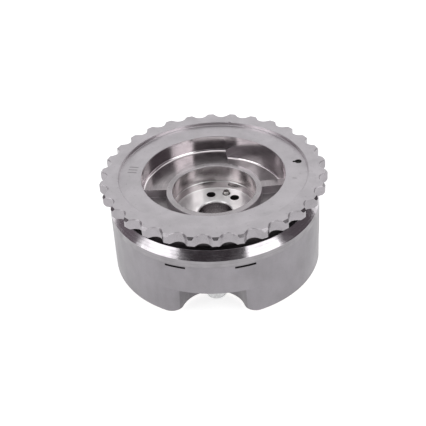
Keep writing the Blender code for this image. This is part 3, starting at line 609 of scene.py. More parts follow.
def sintered_finish(name, light, dark, roughness, marks=()):
    """Pressed and sintered steel: even grey, a fine grain, soft blotches, a few pores, engraved strokes."""
    material, tree, shader = new_finish(name)
    point = in_millimetres(tree)
    blotches = noise(tree, point, 0.16, 4.0)
    grains = noise(tree, point, 3.2, 4.0, 0.7)
    shade = plus(tree, times(tree, blotches, 0.6), times(tree, grains, 0.4))
    colour = mottled(tree, shade, 0.12, dark, light)
    cells = add(tree, "TexVoronoi", {"Vector": point, "Scale": 0.55, "Randomness": 1.0})
    pores = remap(tree, cells.outputs["Distance"], 0.09, 0.14, 0.22, 0.0)
    colour = blend_colours(tree, pores, colour, PORE_COLOUR)
    # Painted highlight and wear: sharp edges are painted lighter
    wear_and_highlight = times(tree, sharp_edges(tree, EDGE_ROUNDING), 0.6)
    colour = blend_colours(tree, wear_and_highlight, colour, WORN_AND_HIGHLIGHT_COLOUR)
    relief = grains
    for mark in marks:
        stroke = strokes(tree, point, *mark)
        colour = blend_colours(tree, times(tree, stroke, 0.45), colour, PORE_COLOUR)
        relief = plus(tree, relief, times(tree, stroke, -4.0))
    rough = remap(tree, shade, 0.3, 0.7, roughness + 0.06, roughness - 0.06)
    set_surface(tree, shader, colour, rough)
    set_bump(tree, shader, relief, 12.0, EDGE_ROUNDING)
    return material


def round_axis(tree, point):
    """Direction of the turning marks, round the axis."""
    split = add(tree, "SeparateXYZ", {"Vector": point})
    across = {"X": times(tree, split.outputs["Y"], -1.0), "Y": split.outputs["X"]}
    along = {"Vector": add(tree, "CombineXYZ", across).outputs["Vector"]}
    spaces = {"vector_type": "VECTOR", "convert_from": "OBJECT", "convert_to": "WORLD"}
    return add(tree, "VectorTransform", along, **spaces).outputs["Vector"]


def turned_finish(name, light, dark, roughness, along, marks, depth, spread=0.22, anisotropy=0.0):
    """Machined metal with marks side by side along a face's radius or a wall's height, a little stained."""
    material, tree, shader = new_finish(name)
    point = in_millimetres(tree)
    radius, height = radius_and_height(tree, point)
    fine = noise_along(tree, radius if along == "radius" else height, marks, 5.0)
    stain = noise(tree, point, 0.22, 5.0)
    shade = plus(tree, times(tree, fine, 0.45), times(tree, stain, 0.55))
    rough = remap(tree, stain, 0.35, 0.65, roughness * (1.0 + spread), roughness * (1.0 - spread))
    set_surface(tree, shader, mottled(tree, shade, 0.14, dark, light), rough)
    if anisotropy:
        shader.inputs["Anisotropic"].default_value = anisotropy
        shader.inputs["Anisotropic Rotation"].default_value = QUARTER_TURN
        tree.links.new(round_axis(tree, point), shader.inputs["Tangent"])
    set_bump(tree, shader, fine, depth)
    return material


def end_finish(name):
    """Housing's fine-turned end: nearly a mirror, with faint pink and yellow patches painted in as
    reflections, and one plain etched field.
    """
    material, tree, shader = new_finish(name)
    point = in_millimetres(tree)
    radius, height = radius_and_height(tree, point)
    fine = noise_along(tree, radius, 2.0, 5.0)
    stain = noise(tree, point, 0.25, 5.0)
    # Painted reflection: broad pink and yellow patches in the colour
    colour = mottled(tree, noise(tree, point, 0.05, 1.0), 0.08, (0.56, 0.49, 0.50), (0.55, 0.53, 0.47))
    colour = blend_colours(tree, remap(tree, stain, 0.35, 0.65, 0.0, 0.5), colour, (0.46, 0.45, 0.47))
    etched = field(tree, point, *ETCHED_FIELD)[0]
    grains = noise(tree, point, 4.0, 3.0)
    amber = blend_colours(tree, grains, (0.38, 0.20, 0.09), (0.46, 0.27, 0.13))
    rough = plus(tree, remap(tree, stain, 0.35, 0.65, 0.22, 0.15), times(tree, etched, 0.30))
    set_surface(tree, shader, blend_colours(tree, etched, colour, amber), rough)
    set_bump(tree, shader, plus(tree, fine, times(tree, etched, grains)), 4.0)
    return material


def cast_finish(name, light, dark, roughness):
    """Die-cast skin: satin, faintly cloudy, with a fine grain and flow marks."""
    material, tree, shader = new_finish(name)
    point = in_millimetres(tree)
    clouds = noise(tree, point, 0.07, 4.0)
    stretched = add(tree, "Mapping", {"Vector": point, "Scale": (0.35, 0.35, 0.12)}).outputs["Vector"]
    flow = noise(tree, stretched, 1.0, 5.0)
    grains = noise(tree, point, 2.6, 3.0, 0.7)
    small = plus(tree, times(tree, flow, 0.25), times(tree, grains, 0.2))
    shade = plus(tree, times(tree, clouds, 0.55), small)
    rough = remap(tree, shade, 0.3, 0.7, roughness + 0.05, roughness - 0.05)
    set_surface(tree, shader, mottled(tree, shade, 0.12, dark, light), rough)
    set_bump(tree, shader, plus(tree, grains, times(tree, flow, 0.8)), 18.0)
    return material


def plain_finish(name, colour, roughness, metallic=1.0):
    """Small parts: one colour, varied a little by a fine grain."""
    material, tree, shader = new_finish(name)
    grains = noise(tree, in_millimetres(tree), 1.5, 4.0)
    darker = tuple(0.75 * channel for channel in colour)
    rough = remap(tree, grains, 0.3, 0.7, roughness * 1.2, roughness * 0.85)
    set_surface(tree, shader, mottled(tree, grains, 0.15, darker, colour), rough, metallic)
    set_bump(tree, shader, grains, 10.0)
    return material


# Each finish has a light and a dark colour and a roughness; turned metal also has the direction, scale and
# depth of its marks, and bright faces the roughness's spread and how far reflections are drawn out.
SINTERED = sintered_finish("sintered_top", (0.51, 0.485, 0.51), (0.44, 0.42, 0.44), 0.42, ENGRAVED_MARKS)
TOOTH_WALL = sintered_finish("sintered_teeth", (0.37, 0.35, 0.37), (0.30, 0.285, 0.30), 0.25)
TOOTH_CHAMFER = turned_finish(
    "turned_tips", (0.40, 0.38, 0.40), (0.30, 0.285, 0.30), 0.24, "radius", 2.0, 3.0)
# Painted shade: a darker copy of the sintered finish for the trough's floor round the ring
SINTERED_SHADED = sintered_finish("sintered_floor_painted_shade", (0.36, 0.34, 0.35), (0.25, 0.235, 0.24), 0.42)
RING = turned_finish(
    "turned_ring", (0.43, 0.405, 0.42), (0.33, 0.31, 0.32), 0.26, "radius", 2.4, 3.0, 0.2, 0.8)
LAND = turned_finish(
    "turned_land", (0.38, 0.35, 0.36), (0.27, 0.25, 0.26), 0.20, "radius", 2.4, 3.0, 0.2, 0.8)
CONE = turned_finish(
    "turned_cone", (0.64, 0.61, 0.64), (0.46, 0.435, 0.46), 0.17, "height", 1.5, 4.0, 0.4, 0.6)
FLANGE_RIM = turned_finish(
    "turned_rim", (0.325, 0.31, 0.325), (0.265, 0.255, 0.265), 0.38, "height", 2.2, 6.0)
OPENING_WALL = turned_finish(
    "turned_opening", (0.94, 0.89, 0.91), (0.74, 0.69, 0.71), 0.12, "height", 2.0, 2.0, 0.2, 0.9)
BORE_WALL = turned_finish(
    "turned_bore", (0.72, 0.675, 0.685), (0.54, 0.50, 0.51), 0.18, "height", 2.4, 2.0, 0.2, 0.9)
# Painted shade: near-black turned finish for the neck under the tooth plate
NECK = turned_finish("turned_neck_painted_shade", (0.13, 0.12, 0.125), (0.09, 0.085, 0.09), 0.35, "height", 2.0, 6.0)
SEAT = turned_finish(
    "turned_seat", (0.98, 0.97, 0.97), (0.95, 0.94, 0.94), 0.40, "radius", 2.6, 3.0, 0.2, 0.9)
# Painted shade: a darker copy of the bore's turned finish for the wall of the rotor's bolt hole
SHADED_HOLE_WALL = turned_finish(
    "turned_hole_painted_shade", (0.44, 0.41, 0.42), (0.30, 0.28, 0.29), 0.24, "height", 2.0, 3.0, 0.2, 0.8)
ROTOR_STEEL = turned_finish(
    "rotor_body", (0.60, 0.59, 0.58), (0.45, 0.44, 0.43), 0.30, "radius", 1.8, 6.0)
COLLAR_TURNED = turned_finish(
    "turned_collar", (0.62, 0.60, 0.60), (0.48, 0.46, 0.46), 0.20, "radius", 1.6, 4.0)
END_TURNED = end_finish("turned_end_face")
CAST = cast_finish("cast_skin", (0.29, 0.276, 0.294), (0.236, 0.225, 0.238), 0.38)
# Painted shade: a darker copy of the cast skin for the walls inside the bolt pockets
CAST_SHADED = cast_finish("cast_pocket_painted_shade", (0.24, 0.228, 0.24), (0.18, 0.17, 0.18), 0.42)
ZINC = plain_finish("zinc_plating", (0.56, 0.56, 0.565), 0.30)
HARD_STEEL = plain_finish("ground_pin", (0.70, 0.69, 0.67), 0.18)
SPRING_STEEL = plain_finish("spring_wire", (0.34, 0.34, 0.36), 0.30)
SEAL = plain_finish("seal_strip", (0.035, 0.034, 0.036), 0.5, 0.0)
# Painted shade: near-black colour for the insides of oil holes and of the dimples in the recess
PAINTED_HOLE_SHADE = plain_finish("painted_hole_shade", (0.030, 0.028, 0.028), 0.5, 0.0)


def dress(piece, node, body, finishes, choose=None):
    """Gives a finished piece its body, its materials face by face, and the CAD node that it stands for."""
    piece.name = node + "_fine"
    piece.data.name = piece.name
    piece.data.materials.clear()
    for finish in finishes:
        piece.data.materials.append(finish)
    for polygon in piece.data.polygons if choose else ():
        centre = polygon.center
        finish = choose(math.hypot(centre.x, centre.y), centre.z, polygon.normal.z)
        polygon.material_index = finishes.index(finish)
    piece.data.shade_smooth()
    piece.data.set_sharp_from_angle(angle=math.radians(SHARP_ANGLE))
    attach(piece, body)
    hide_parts(node)


# Sprocket

def tooth_outline(inset):
    """Round seats for the chain's rollers on the pitch circle, slanting flanks and blunt tips."""
    seat = ROLLER_SEAT_RADIUS + inset
    tip = TIP_RADIUS - inset
    half = math.radians(SEAT_HALF_ANGLE)
    end_x = PITCH_RADIUS - seat * math.cos(half)
    end_y = seat * math.sin(half)
    along = end_x * math.sin(half) + end_y * math.cos(half)
    flank = math.sqrt(along ** 2 - end_x ** 2 - end_y ** 2 + tip ** 2) - along
    straight = flank - TIP_CORNER
    before = (end_x + straight * math.sin(half), end_y + straight * math.cos(half))
    corner = math.degrees(math.atan2(end_y + flank * math.cos(half), end_x + flank * math.sin(half)))
    after = polar(tip, corner + math.degrees(TIP_CORNER / tip))
    bulge = TIP_CORNER / 8.0
    middle = ((before[0] + after[0]) / 2.0 + bulge, (before[1] + after[1]) / 2.0 - bulge)
    gap = [(x, -y) for x, y in (after, middle, before)]
    gap += arc((PITCH_RADIUS, 0.0), seat, 180.0 + SEAT_HALF_ANGLE, 180.0 - SEAT_HALF_ANGLE, SEAT_STEPS)
    gap += [before, middle, after]
    outline = []
    for tooth in range(TEETH):
        outline += turn_points(gap, TOOTH_TIP_AZIMUTH + (tooth + 0.5) * 360.0 / TEETH)
    return outline


def tooth_plate():
    """Toothed disc with broken edges, its tips turned down to a chamfer above and below."""
    levels = (
        (TOOTH_PLATE_BOTTOM, TOOTH_EDGE),
        (TOOTH_PLATE_BOTTOM + TOOTH_EDGE, 0.0),
        (TOP_FACE - TOOTH_EDGE, 0.0),
        (TOP_FACE, TOOTH_EDGE),
    )
    plate = stack("teeth", [[(x, y, z) for x, y in tooth_outline(inset)] for z, inset in levels])
    inner = TIP_RADIUS - TIP_CHAMFER - OVERLAP
    outer = TIP_RADIUS + OVERLAP
    for face, down in ((TOP_FACE, -1.0), (TOOTH_PLATE_BOTTOM, 1.0)):
        outside = face - down * OVERLAP
        depth = face + down * (TIP_CHAMFER + OVERLAP)
        cut(plate, turned("tip_chamfer", [(inner, outside), (outer, depth), (outer, outside)]))
    return plate


def sprocket_cavity():
    """Space cut out of the sprocket: journal bore, trough round its ring, opening and recess."""
    return turned("cavity", rounded([
        (0.0, FLANGE_FACE - OVERLAP, 0.0),
        (JOURNAL_RADIUS, FLANGE_FACE - OVERLAP, 0.0),
        (JOURNAL_RADIUS, RING_TOP, RING_CHAMFER),
        (RING_RADIUS, RING_TOP, RING_CHAMFER),
        (RING_RADIUS, WEB_FLOOR, 0.0),
        (OPENING_RADIUS, WEB_FLOOR, FLOOR_FILLET),
        (OPENING_RADIUS, RECESS_FLOOR, OPENING_EDGE),
        (RECESS_RADIUS, RECESS_FLOOR, RECESS_FILLET),
        (RECESS_RADIUS, TOP_FACE - RECESS_EDGE, 0.0),
        (RECESS_RADIUS + RECESS_EDGE + OVERLAP, TOP_FACE + OVERLAP, 0.0),
        (0.0, TOP_FACE + OVERLAP, 0.0),
    ]))


def sprocket_land():
    """Broad land that joins the journal ring to the wall, flush with the ring and filleted at the wall."""
    inner = (JOURNAL_RADIUS + RING_RADIUS) / 2.0
    outer = OPENING_RADIUS + OVERLAP
    bottom = WEB_FLOOR - OVERLAP
    centre = (OPENING_RADIUS - LAND_FILLET, RING_TOP + LAND_FILLET)
    fillet = arc(centre, LAND_FILLET, -90.0, LAND_FILLET_END, 2 * FILLET_STEPS)
    profile = [(inner, bottom), (outer, bottom), (outer, fillet[-1][1])]
    profile += list(reversed(fillet))
    profile.append((inner, RING_TOP))
    land = turned_part("land", profile, LAND_START, LAND_END)
    beyond = rectangle(inner - OVERLAP, outer + OVERLAP, -outer, -LAND_CUT_REACH)
    beyond = turn_points(beyond, LAND_CUT_AZIMUTH)
    cut(land, prism("beyond_land", beyond, bottom - OVERLAP, TOP_FACE))
    return land


def sprocket_rib():
    inner = (JOURNAL_RADIUS + RING_RADIUS) / 2.0
    outer = OPENING_RADIUS + OVERLAP
    outline = rectangle(inner, outer, -RIB_WIDTH / 2.0, RIB_WIDTH / 2.0)
    return prism("rib", turn_points(outline, RIB_AZIMUTH), WEB_FLOOR - OVERLAP, RING_TOP)


def sprocket_surface(radius, height, slope):
    upright = abs(slope) < 0.3
    if height > TOOTH_PLATE_BOTTOM and radius > ROOT_RADIUS - TOOTH_EDGE:
        turned_down = 0.5 < abs(slope) < 0.9 and radius > TIP_RADIUS - 0.75 * TIP_CHAMFER
        return TOOTH_CHAMFER if turned_down else TOOTH_WALL if upright else SINTERED
    if 0.2 < slope < 0.95 and radius > CONE_TOP_RADIUS and CONE_BOTTOM < height < CONE_TOP:
        return CONE
    if upright and radius < JOURNAL_RADIUS + RING_CHAMFER:
        return BORE_WALL
    if upright and abs(radius - OPENING_RADIUS) < OPENING_EDGE and height > WEB_FLOOR:
        return OPENING_WALL
    if upright and radius > CONE_TOP_RADIUS and height < CONE_BOTTOM:
        return FLANGE_RIM
    # The neck under the tooth plate takes the near-black finish: painted shade
    if radius > NECK_RADIUS - OVERLAP and CONE_TOP - CLOSE < height < TOOTH_PLATE_BOTTOM - TOOTH_EDGE:
        return NECK
    if slope > 0.9 and radius < OPENING_RADIUS and abs(height - RING_TOP) < RING_CHAMFER:
        return RING if radius < RING_RADIUS else LAND
    at_wall = OPENING_RADIUS - LAND_FILLET < radius < OPENING_RADIUS
    if at_wall and 0.05 < slope < 0.98 and WEB_FLOOR < height < RING_TOP + LAND_FILLET:
        return OPENING_WALL
    # The trough's floor round the ring is painted darker: painted shade
    if radius < OPENING_RADIUS and height < WEB_FLOOR + FLOOR_FILLET:
        return SINTERED_SHADED
    if upright and abs(radius - RECESS_RADIUS) < RECESS_FILLET and height > RECESS_FLOOR:
        return OPENING_WALL
    # The dimples in the recess are painted near-black: painted shade
    in_recess = OPENING_RADIUS + OVERLAP < radius < RECESS_RADIUS - OVERLAP
    if in_recess and RECESS_FLOOR - OVERLAP < height < RECESS_FLOOR - DIMPLE_DEPTH / 4.0:
        return PAINTED_HOLE_SHADE
    return SINTERED


def make_sprocket():
    body = turned("sprocket", rounded([
        (0.0, FLANGE_FACE, 0.0),
        (BODY_RADIUS, FLANGE_FACE, 0.0),
        (BODY_RADIUS, CONE_BOTTOM, FLANGE_EDGE),
        (CONE_TOP_RADIUS, CONE_TOP, FLANGE_EDGE),
        (NECK_RADIUS, CONE_TOP, 0.0),
        (NECK_RADIUS, TOOTH_PLATE_BOTTOM + OVERLAP, 0.0),
        (0.0, TOOTH_PLATE_BOTTOM + OVERLAP, 0.0),
    ]))
    join(body, tooth_plate())
    cut(body, sprocket_cavity())
    join(body, sprocket_land())
    join(body, sprocket_rib())
    for azimuth in BOLT_AZIMUTHS:
        drill(body, BOLT_RADIUS + GAP, FLANGE_FACE - OVERLAP, BOLT_TIP + GAP, azimuth, BOLT_CIRCLE)
    azimuth = LOCK_AZIMUTH + LOCK_SWING
    drill(body, BUSHING_RADIUS + GAP, FLANGE_FACE - OVERLAP, BUSHING_TOP + GAP, azimuth, LOCK_CIRCLE)
    for azimuth, reach, radius in DIMPLES:
        bottom = RECESS_FLOOR - DIMPLE_DEPTH
        drill(body, radius, bottom, RECESS_FLOOR + OVERLAP, azimuth, OPENING_RADIUS + reach)
    drill(body, NOTCH_RADIUS, TOP_FACE - NOTCH_DEPTH, TOP_FACE + OVERLAP, NOTCH_AZIMUTH, RECESS_RADIUS)
    finishes = [SINTERED, SINTERED_SHADED, TOOTH_WALL, TOOTH_CHAMFER, PAINTED_HOLE_SHADE, RING, LAND, CONE, FLANGE_RIM]
    finishes += [OPENING_WALL, BORE_WALL, NECK]
    dress(body, "sprocket", "gear", finishes, sprocket_surface)


# Housing

def mouth(outer, scallop, corner):
    """Where the rounded corners of a pocket's mouth lie, for a pocket on +X.

    Returns the corner centre's distance along and across the pocket's middle line, the azimuth at which the
    corner leaves the outside, and the direction from the corner's centre to the scallop's centre.
    """
    reach = outer - corner
    along = (SCALLOP_CENTRE ** 2 + reach ** 2 - (scallop + corner) ** 2) / (2.0 * SCALLOP_CENTRE)
    across = math.sqrt(reach ** 2 - along ** 2)
    leave = math.degrees(math.atan2(across, along))
    meet = math.degrees(math.atan2(across, SCALLOP_CENTRE - along))
    return along, across, leave, meet


def mouth_points(outer, scallop, corner):
    """Outline of one pocket, on +X, from the outside on one hand to the outside on the other."""
    along, across, leave, meet = mouth(outer, scallop, corner)
    points = arc((along, -across), corner, -leave, meet, MOUTH_STEPS)
    points += arc((SCALLOP_CENTRE, 0.0), scallop, meet - 180.0, -180.0 - meet, SCALLOP_STEPS)[1:-1]
    points += arc((along, across), corner, -meet, leave, MOUTH_STEPS)
    return points


def lobe_points(outer, pocket, leave):
    """Points on the outside from one pocket's mouth to the next, without the ends."""
    start = POCKET_AZIMUTHS[pocket]
    end = onward(start, POCKET_AZIMUTHS[(pocket + 1) % len(POCKET_AZIMUTHS)])
    steps = arc_steps(start + MOUTH_STEPS * FACET_DEGREES, end - MOUTH_STEPS * FACET_DEGREES)
    return arc((0.0, 0.0), outer, start + leave, end - leave, steps)[1:-1]


def housing_levels():
    """Height, outer radius, scallop radius and corner radius, from the end face up to the ceiling."""
    levels = []
    for step in range(LOWER_EDGE_STEPS + 1):
        angle = math.radians(90.0 * step / LOWER_EDGE_STEPS)
        rise = LOWER_EDGE_ROUNDING * (1.0 - math.cos(angle))
        inset = LOWER_EDGE_ROUNDING * (1.0 - math.sin(angle))
        flare = max(0.0, SCALLOP_EDGE - rise) - SCALLOP_DRAFT * rise / POCKET_DEPTH
        levels.append((END_FACE + rise, BODY_RADIUS - inset, SCALLOP_RADIUS + flare, MOUTH_ROUNDING - inset))
    levels.append((POCKET_CEILING, BODY_RADIUS, SCALLOP_RADIUS - SCALLOP_DRAFT, MOUTH_ROUNDING))
    return levels


def housing_form():
    """Cup without its hollow: lobes and scalloped pockets below the ceiling, a plain cylinder above it."""
    mesh = bmesh.new()
    rings = []
    for height, outer, scallop, corner in housing_levels():
        leave = mouth(outer, scallop, corner)[2]
        mouths = []
        lobes = []
        for pocket, azimuth in enumerate(POCKET_AZIMUTHS):
            points = turn_points(mouth_points(outer, scallop, corner), azimuth)
            mouths.append([mesh.verts.new((x, y, height)) for x, y in points])
            points = lobe_points(outer, pocket, leave)
            lobes.append([mesh.verts.new((x, y, height)) for x, y in points])
        rings.append([vertex for pair in zip(mouths, lobes) for run in pair for vertex in run])
    for low, high in zip(rings, rings[1:]):
        wall(mesh, low, high)
    mesh.faces.new(list(reversed(rings[0])))
    upper = []
    for azimuth, opening, lobe in zip(POCKET_AZIMUTHS, mouths, lobes):
        points = arc_about_axis(BODY_RADIUS, azimuth - leave, azimuth + leave)[1:-1]
        rim = [mesh.verts.new((x, y, POCKET_CEILING)) for x, y in points]
        mesh.faces.new(opening + list(reversed(rim)))
        upper += [opening[0]] + rim + [opening[-1]] + lobe
    top = [mesh.verts.new((vertex.co.x, vertex.co.y, FLANGE_FACE - SEAM)) for vertex in upper]
    wall(mesh, upper, top)
    mesh.faces.new(top)
    return make_object("housing", mesh)


def arc_with_groove(radius, floor_radius, start, middle, end):
    """Arc from start to end, with a seal groove down to the floor's radius at the middle azimuth."""
    half = GROOVE_WIDTH / 2.0
    edge = math.degrees(math.asin(half / radius))
    groove = rectangle(math.sqrt(radius ** 2 - half ** 2), floor_radius, -half, half)
    points = arc_about_axis(radius, start, middle - edge)[:-1]
    points += turn_points(groove, middle)
    points += arc_about_axis(radius, middle + edge, end)[1:]
    return points


def chamber_outline():
    """Plan of the housing's hollow: three grooved shoes, each with an oil chamber after it."""
    outline = []
    for shoe, middle in enumerate(POCKET_AZIMUTHS):
        start = middle + SHOE_HALF_ANGLE
        end = onward(start, POCKET_AZIMUTHS[(shoe + 1) % len(POCKET_AZIMUTHS)] - SHOE_HALF_ANGLE)
        outline += arc_with_groove(SHOE_RADIUS, SHOE_GROOVE_RADIUS, middle - SHOE_HALF_ANGLE, middle, start)
        outline += arc_about_axis(CHAMBER_RADIUS, start, end)
    return outline


def slit(azimuth):
    """Cutter for one thin slit at the housing's rim."""
    half = (SLIT_END - SLIT_START) / 2.0
    profile = rectangle(BODY_RADIUS - SLIT_DEPTH, BODY_RADIUS + OVERLAP, ROTOR_TOP - SLIT_HEIGHT, ROTOR_TOP)
    return turned_part("slit", profile, azimuth - half, azimuth + half)


def housing_surface(radius, height, slope):
    if slope < -0.95 and abs(height - END_FACE) < CLOSE:
        return END_TURNED
    if height < CHAMBER_FLOOR and radius < COLLAR_BORE + COLLAR_WIDTH + OVERLAP:
        return COLLAR_TURNED
    # Walls deep in the pockets get the darker cast skin: painted shade
    in_pocket = slope < 0.3 and END_FACE < height < POCKET_CEILING + CLOSE
    if in_pocket and radius < BODY_RADIUS - 0.6 * MOUTH_ROUNDING:
        return CAST_SHADED
    return CAST


def make_housing():
    body = housing_form()
    join(body, turned("collar", rounded([
        (0.0, 0.0, 0.0),
        (COLLAR_BORE + COLLAR_WIDTH, 0.0, COLLAR_CHAMFER),
        (COLLAR_BORE + COLLAR_WIDTH, END_FACE + OVERLAP, 0.0),
        (0.0, END_FACE + OVERLAP, 0.0),
    ])))
    cut(body, turned("collar_bore", [
        (0.0, -OVERLAP),
        (COLLAR_BORE + COLLAR_BORE_CHAMFER + OVERLAP, -OVERLAP),
        (COLLAR_BORE, COLLAR_BORE_CHAMFER),
        (COLLAR_BORE, CHAMBER_FLOOR + OVERLAP),
        (0.0, CHAMBER_FLOOR + OVERLAP),
    ]))
    cut(body, prism("chambers", chamber_outline(), CHAMBER_FLOOR, FLANGE_FACE + OVERLAP))
    for azimuth in BOLT_AZIMUTHS:
        drill(body, BOLT_RADIUS + GAP, POCKET_CEILING - OVERLAP, FLANGE_FACE + OVERLAP, azimuth, BOLT_CIRCLE)
    for azimuth in POCKET_AZIMUTHS:
        for side in (-1.0, 1.0):
            cut(body, slit(azimuth + side * (SLIT_START + SLIT_END) / 2.0))
    for azimuth, inset in END_HOLES:
        top = END_FACE + END_HOLE_DEPTH
        drill(body, END_HOLE_RADIUS, END_FACE - OVERLAP, top, azimuth, BODY_RADIUS - inset)
    finishes = [CAST, CAST_SHADED, END_TURNED, COLLAR_TURNED]
    dress(body, "housing", "gear", finishes, housing_surface)


# Cover bolts

def make_cover_bolt(name, azimuth):
    """Bolt from below: round flange, narrower head with a hexagon socket, shank up into the sprocket."""
    seat = POCKET_CEILING - GAP
    bottom = seat - HEAD_HEIGHT
    flange = seat - HEAD_FLANGE
    place = polar(BOLT_CIRCLE, azimuth)
    body = turned(name, rounded([
        (0.0, bottom, 0.0),
        (DOME_RADIUS, bottom, DOME_EDGE),
        (DOME_RADIUS, flange - HEAD_CONE, HEAD_EDGE),
        (HEAD_RADIUS, flange, HEAD_EDGE),
        (HEAD_RADIUS, seat, 0.0),
        (BOLT_RADIUS, seat, 0.0),
        (BOLT_RADIUS, BOLT_TIP, BOLT_TIP_CHAMFER),
        (0.0, BOLT_TIP, 0.0),
    ]), place)
    top = bottom + SOCKET_DEPTH
    cut(body, cylinder("socket", SOCKET_RADIUS, bottom - OVERLAP, top, place, SOCKET_SIDES))
    dress(body, name, "gear", [ZINC])


# Rotor

def rotor_outline():
    """Hub with three vanes, each with a groove for its tip seal."""
    outline = []
    spans = [(middle - half, middle + half) for middle, half in zip(VANE_CENTRES, VANE_HALF_ANGLES)]
    for vane, (start, end) in enumerate(spans):
        outline += arc_with_groove(VANE_RADIUS, VANE_GROOVE_RADIUS, start, VANE_SEAL_AZIMUTHS[vane], end)
        next_start = spans[(vane + 1) % len(spans)][0]
        outline += arc_about_axis(HUB_RADIUS, end, onward(end, next_start))
    return outline


def rotor_surface(radius, height, slope):
    upright = abs(slope) < 0.1
    if upright and height > CAMSHAFT_SEAT and radius < JOURNAL_RADIUS + SEAT_FILLET:
        return BORE_WALL
    # The bolt hole's wall is painted darker than the bore: painted shade
    if upright and radius < BOLT_HOLE_RADIUS and ROTOR_BOTTOM < height < CAMSHAFT_SEAT:
        return SHADED_HOLE_WALL
    in_recess = BOLT_HOLE_RADIUS < radius < JOURNAL_RADIUS + RIM_CHAMFER
    if in_recess and height > CAMSHAFT_SEAT - BOLT_HOLE_CHAMFER:
        return SEAT
    # The oil holes' walls are painted near-black: painted shade
    if abs(radius - OIL_CIRCLE) < 1.5 * OIL_HOLE_RADIUS and ROTOR_BOTTOM + GAP < height < CAMSHAFT_SEAT:
        return PAINTED_HOLE_SHADE
    return ROTOR_STEEL


def make_rotor():
    rim = FLANGE_FACE - SEAM
    body = prism("rotor", rotor_outline(), ROTOR_BOTTOM, rim)
    bottom = ROTOR_BOTTOM - BOSS_HEIGHT
    join(body, cylinder("boss", BOSS_RADIUS, bottom, ROTOR_BOTTOM + OVERLAP, steps=arc_steps(0.0, 360.0)))
    cut(body, turned("bolt_hole_and_seat", rounded([
        (0.0, bottom - OVERLAP, 0.0),
        (BOLT_HOLE_RADIUS + BOLT_HOLE_EDGE + OVERLAP, bottom - OVERLAP, 0.0),
        (BOLT_HOLE_RADIUS, bottom + BOLT_HOLE_EDGE, 0.0),
        (BOLT_HOLE_RADIUS, CAMSHAFT_SEAT, BOLT_HOLE_CHAMFER),
        (JOURNAL_RADIUS, CAMSHAFT_SEAT, SEAT_FILLET),
        (JOURNAL_RADIUS, rim - RIM_CHAMFER, 0.0),
        (JOURNAL_RADIUS + RIM_CHAMFER + OVERLAP, rim + OVERLAP, 0.0),
        (0.0, rim + OVERLAP, 0.0),
    ])))
    drill(body, LOCK_BORE_RADIUS, ROTOR_BOTTOM - OVERLAP, ROTOR_TOP + OVERLAP, LOCK_AZIMUTH, LOCK_CIRCLE)
    bottom = CAMSHAFT_SEAT - KNOCK_PIN_SUNK - GAP
    drill(body, KNOCK_PIN_RADIUS + GAP, bottom, CAMSHAFT_SEAT + OVERLAP, KNOCK_PIN_AZIMUTH, KNOCK_PIN_CIRCLE)
    bottom = CAMSHAFT_SEAT - OIL_HOLE_DEPTH
    for azimuth in RETARD_AZIMUTHS + (LOCK_AZIMUTH,):
        drill(body, OIL_HOLE_RADIUS, bottom, CAMSHAFT_SEAT + OVERLAP, azimuth, OIL_CIRCLE)
    outside = HUB_RADIUS + OVERLAP
    height = ROTOR_BOTTOM + RETARD_PORT_ABOVE
    for azimuth in RETARD_AZIMUTHS:
        drill_outward(body, PORT_RADIUS, height, azimuth, OIL_CIRCLE, outside)
    drill_outward(body, PORT_RADIUS, height, LOCK_AZIMUTH, OIL_CIRCLE, LOCK_CIRCLE - LOCK_PIN_RADIUS)
    height = ROTOR_BOTTOM + ADVANCE_PORT_ABOVE
    for azimuth in ADVANCE_AZIMUTHS:
        drill_outward(body, PORT_RADIUS, height, azimuth, BOLT_HOLE_RADIUS - OVERLAP, outside)
    finishes = [ROTOR_STEEL, SEAT, BORE_WALL, SHADED_HOLE_WALL, PAINTED_HOLE_SHADE]
    dress(body, "rotor", "vane_rotor", finishes, rotor_surface)


def make_knock_pin():
    bottom = CAMSHAFT_SEAT - KNOCK_PIN_SUNK
    top = CAMSHAFT_SEAT + KNOCK_PIN_PROUD
    pin = turned("knock_pin", rounded([
        (0.0, bottom, 0.0),
        (KNOCK_PIN_RADIUS, bottom, KNOCK_PIN_CHAMFER),
        (KNOCK_PIN_RADIUS, top, KNOCK_PIN_CHAMFER),
        (0.0, top, 0.0),
    ]), polar(KNOCK_PIN_CIRCLE, KNOCK_PIN_AZIMUTH), HOLE_STEPS)
    dress(pin, "knock_pin", "vane_rotor", [HARD_STEEL])


def make_lock_pin_spring():
    """Round wire wound between its seat and the lock pin's crown, built at one length; the real spring
    shortens as the pin goes down.
    """
    low = SPRING_FOOT + SPRING_WIRE / 2.0
    high = SPRING_TOP - SPRING_WIRE / 2.0
    place = polar(LOCK_CIRCLE, LOCK_AZIMUTH)
    steps = SPRING_TURNS * SPRING_STEPS
    sections = []
    for step in range(steps + 1):
        height = low + (high - low) * step / steps
        section = arc((SPRING_RADIUS, height), SPRING_WIRE / 2.0, 0.0, 360.0, SPRING_SIDES)[:-1]
        sections.append([(*polar(reach, 360.0 * step / SPRING_STEPS), rise) for reach, rise in section])
    spring = stack("coil_spring", sections, place)
    dress(spring, "lock_pin_spring", "vane_rotor", [SPRING_STEEL])
    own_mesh(spring)


make_sprocket()
make_housing()
for bolt_number, bolt_azimuth in enumerate(BOLT_AZIMUTHS, 1):
    make_cover_bolt(f"cover_bolt_{bolt_number}", bolt_azimuth)
make_rotor()
make_knock_pin()
make_lock_pin_spring()

INNER_FINISHES = {"seal": SEAL, "spring": SPRING_STEEL, "lock": HARD_STEEL}
for node_name, cad_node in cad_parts.items():
    for word, inner_finish in INNER_FINISHES.items():
        if word in node_name:
            cad_node.data.materials.clear()
            cad_node.data.materials.append(inner_finish)


# Studio

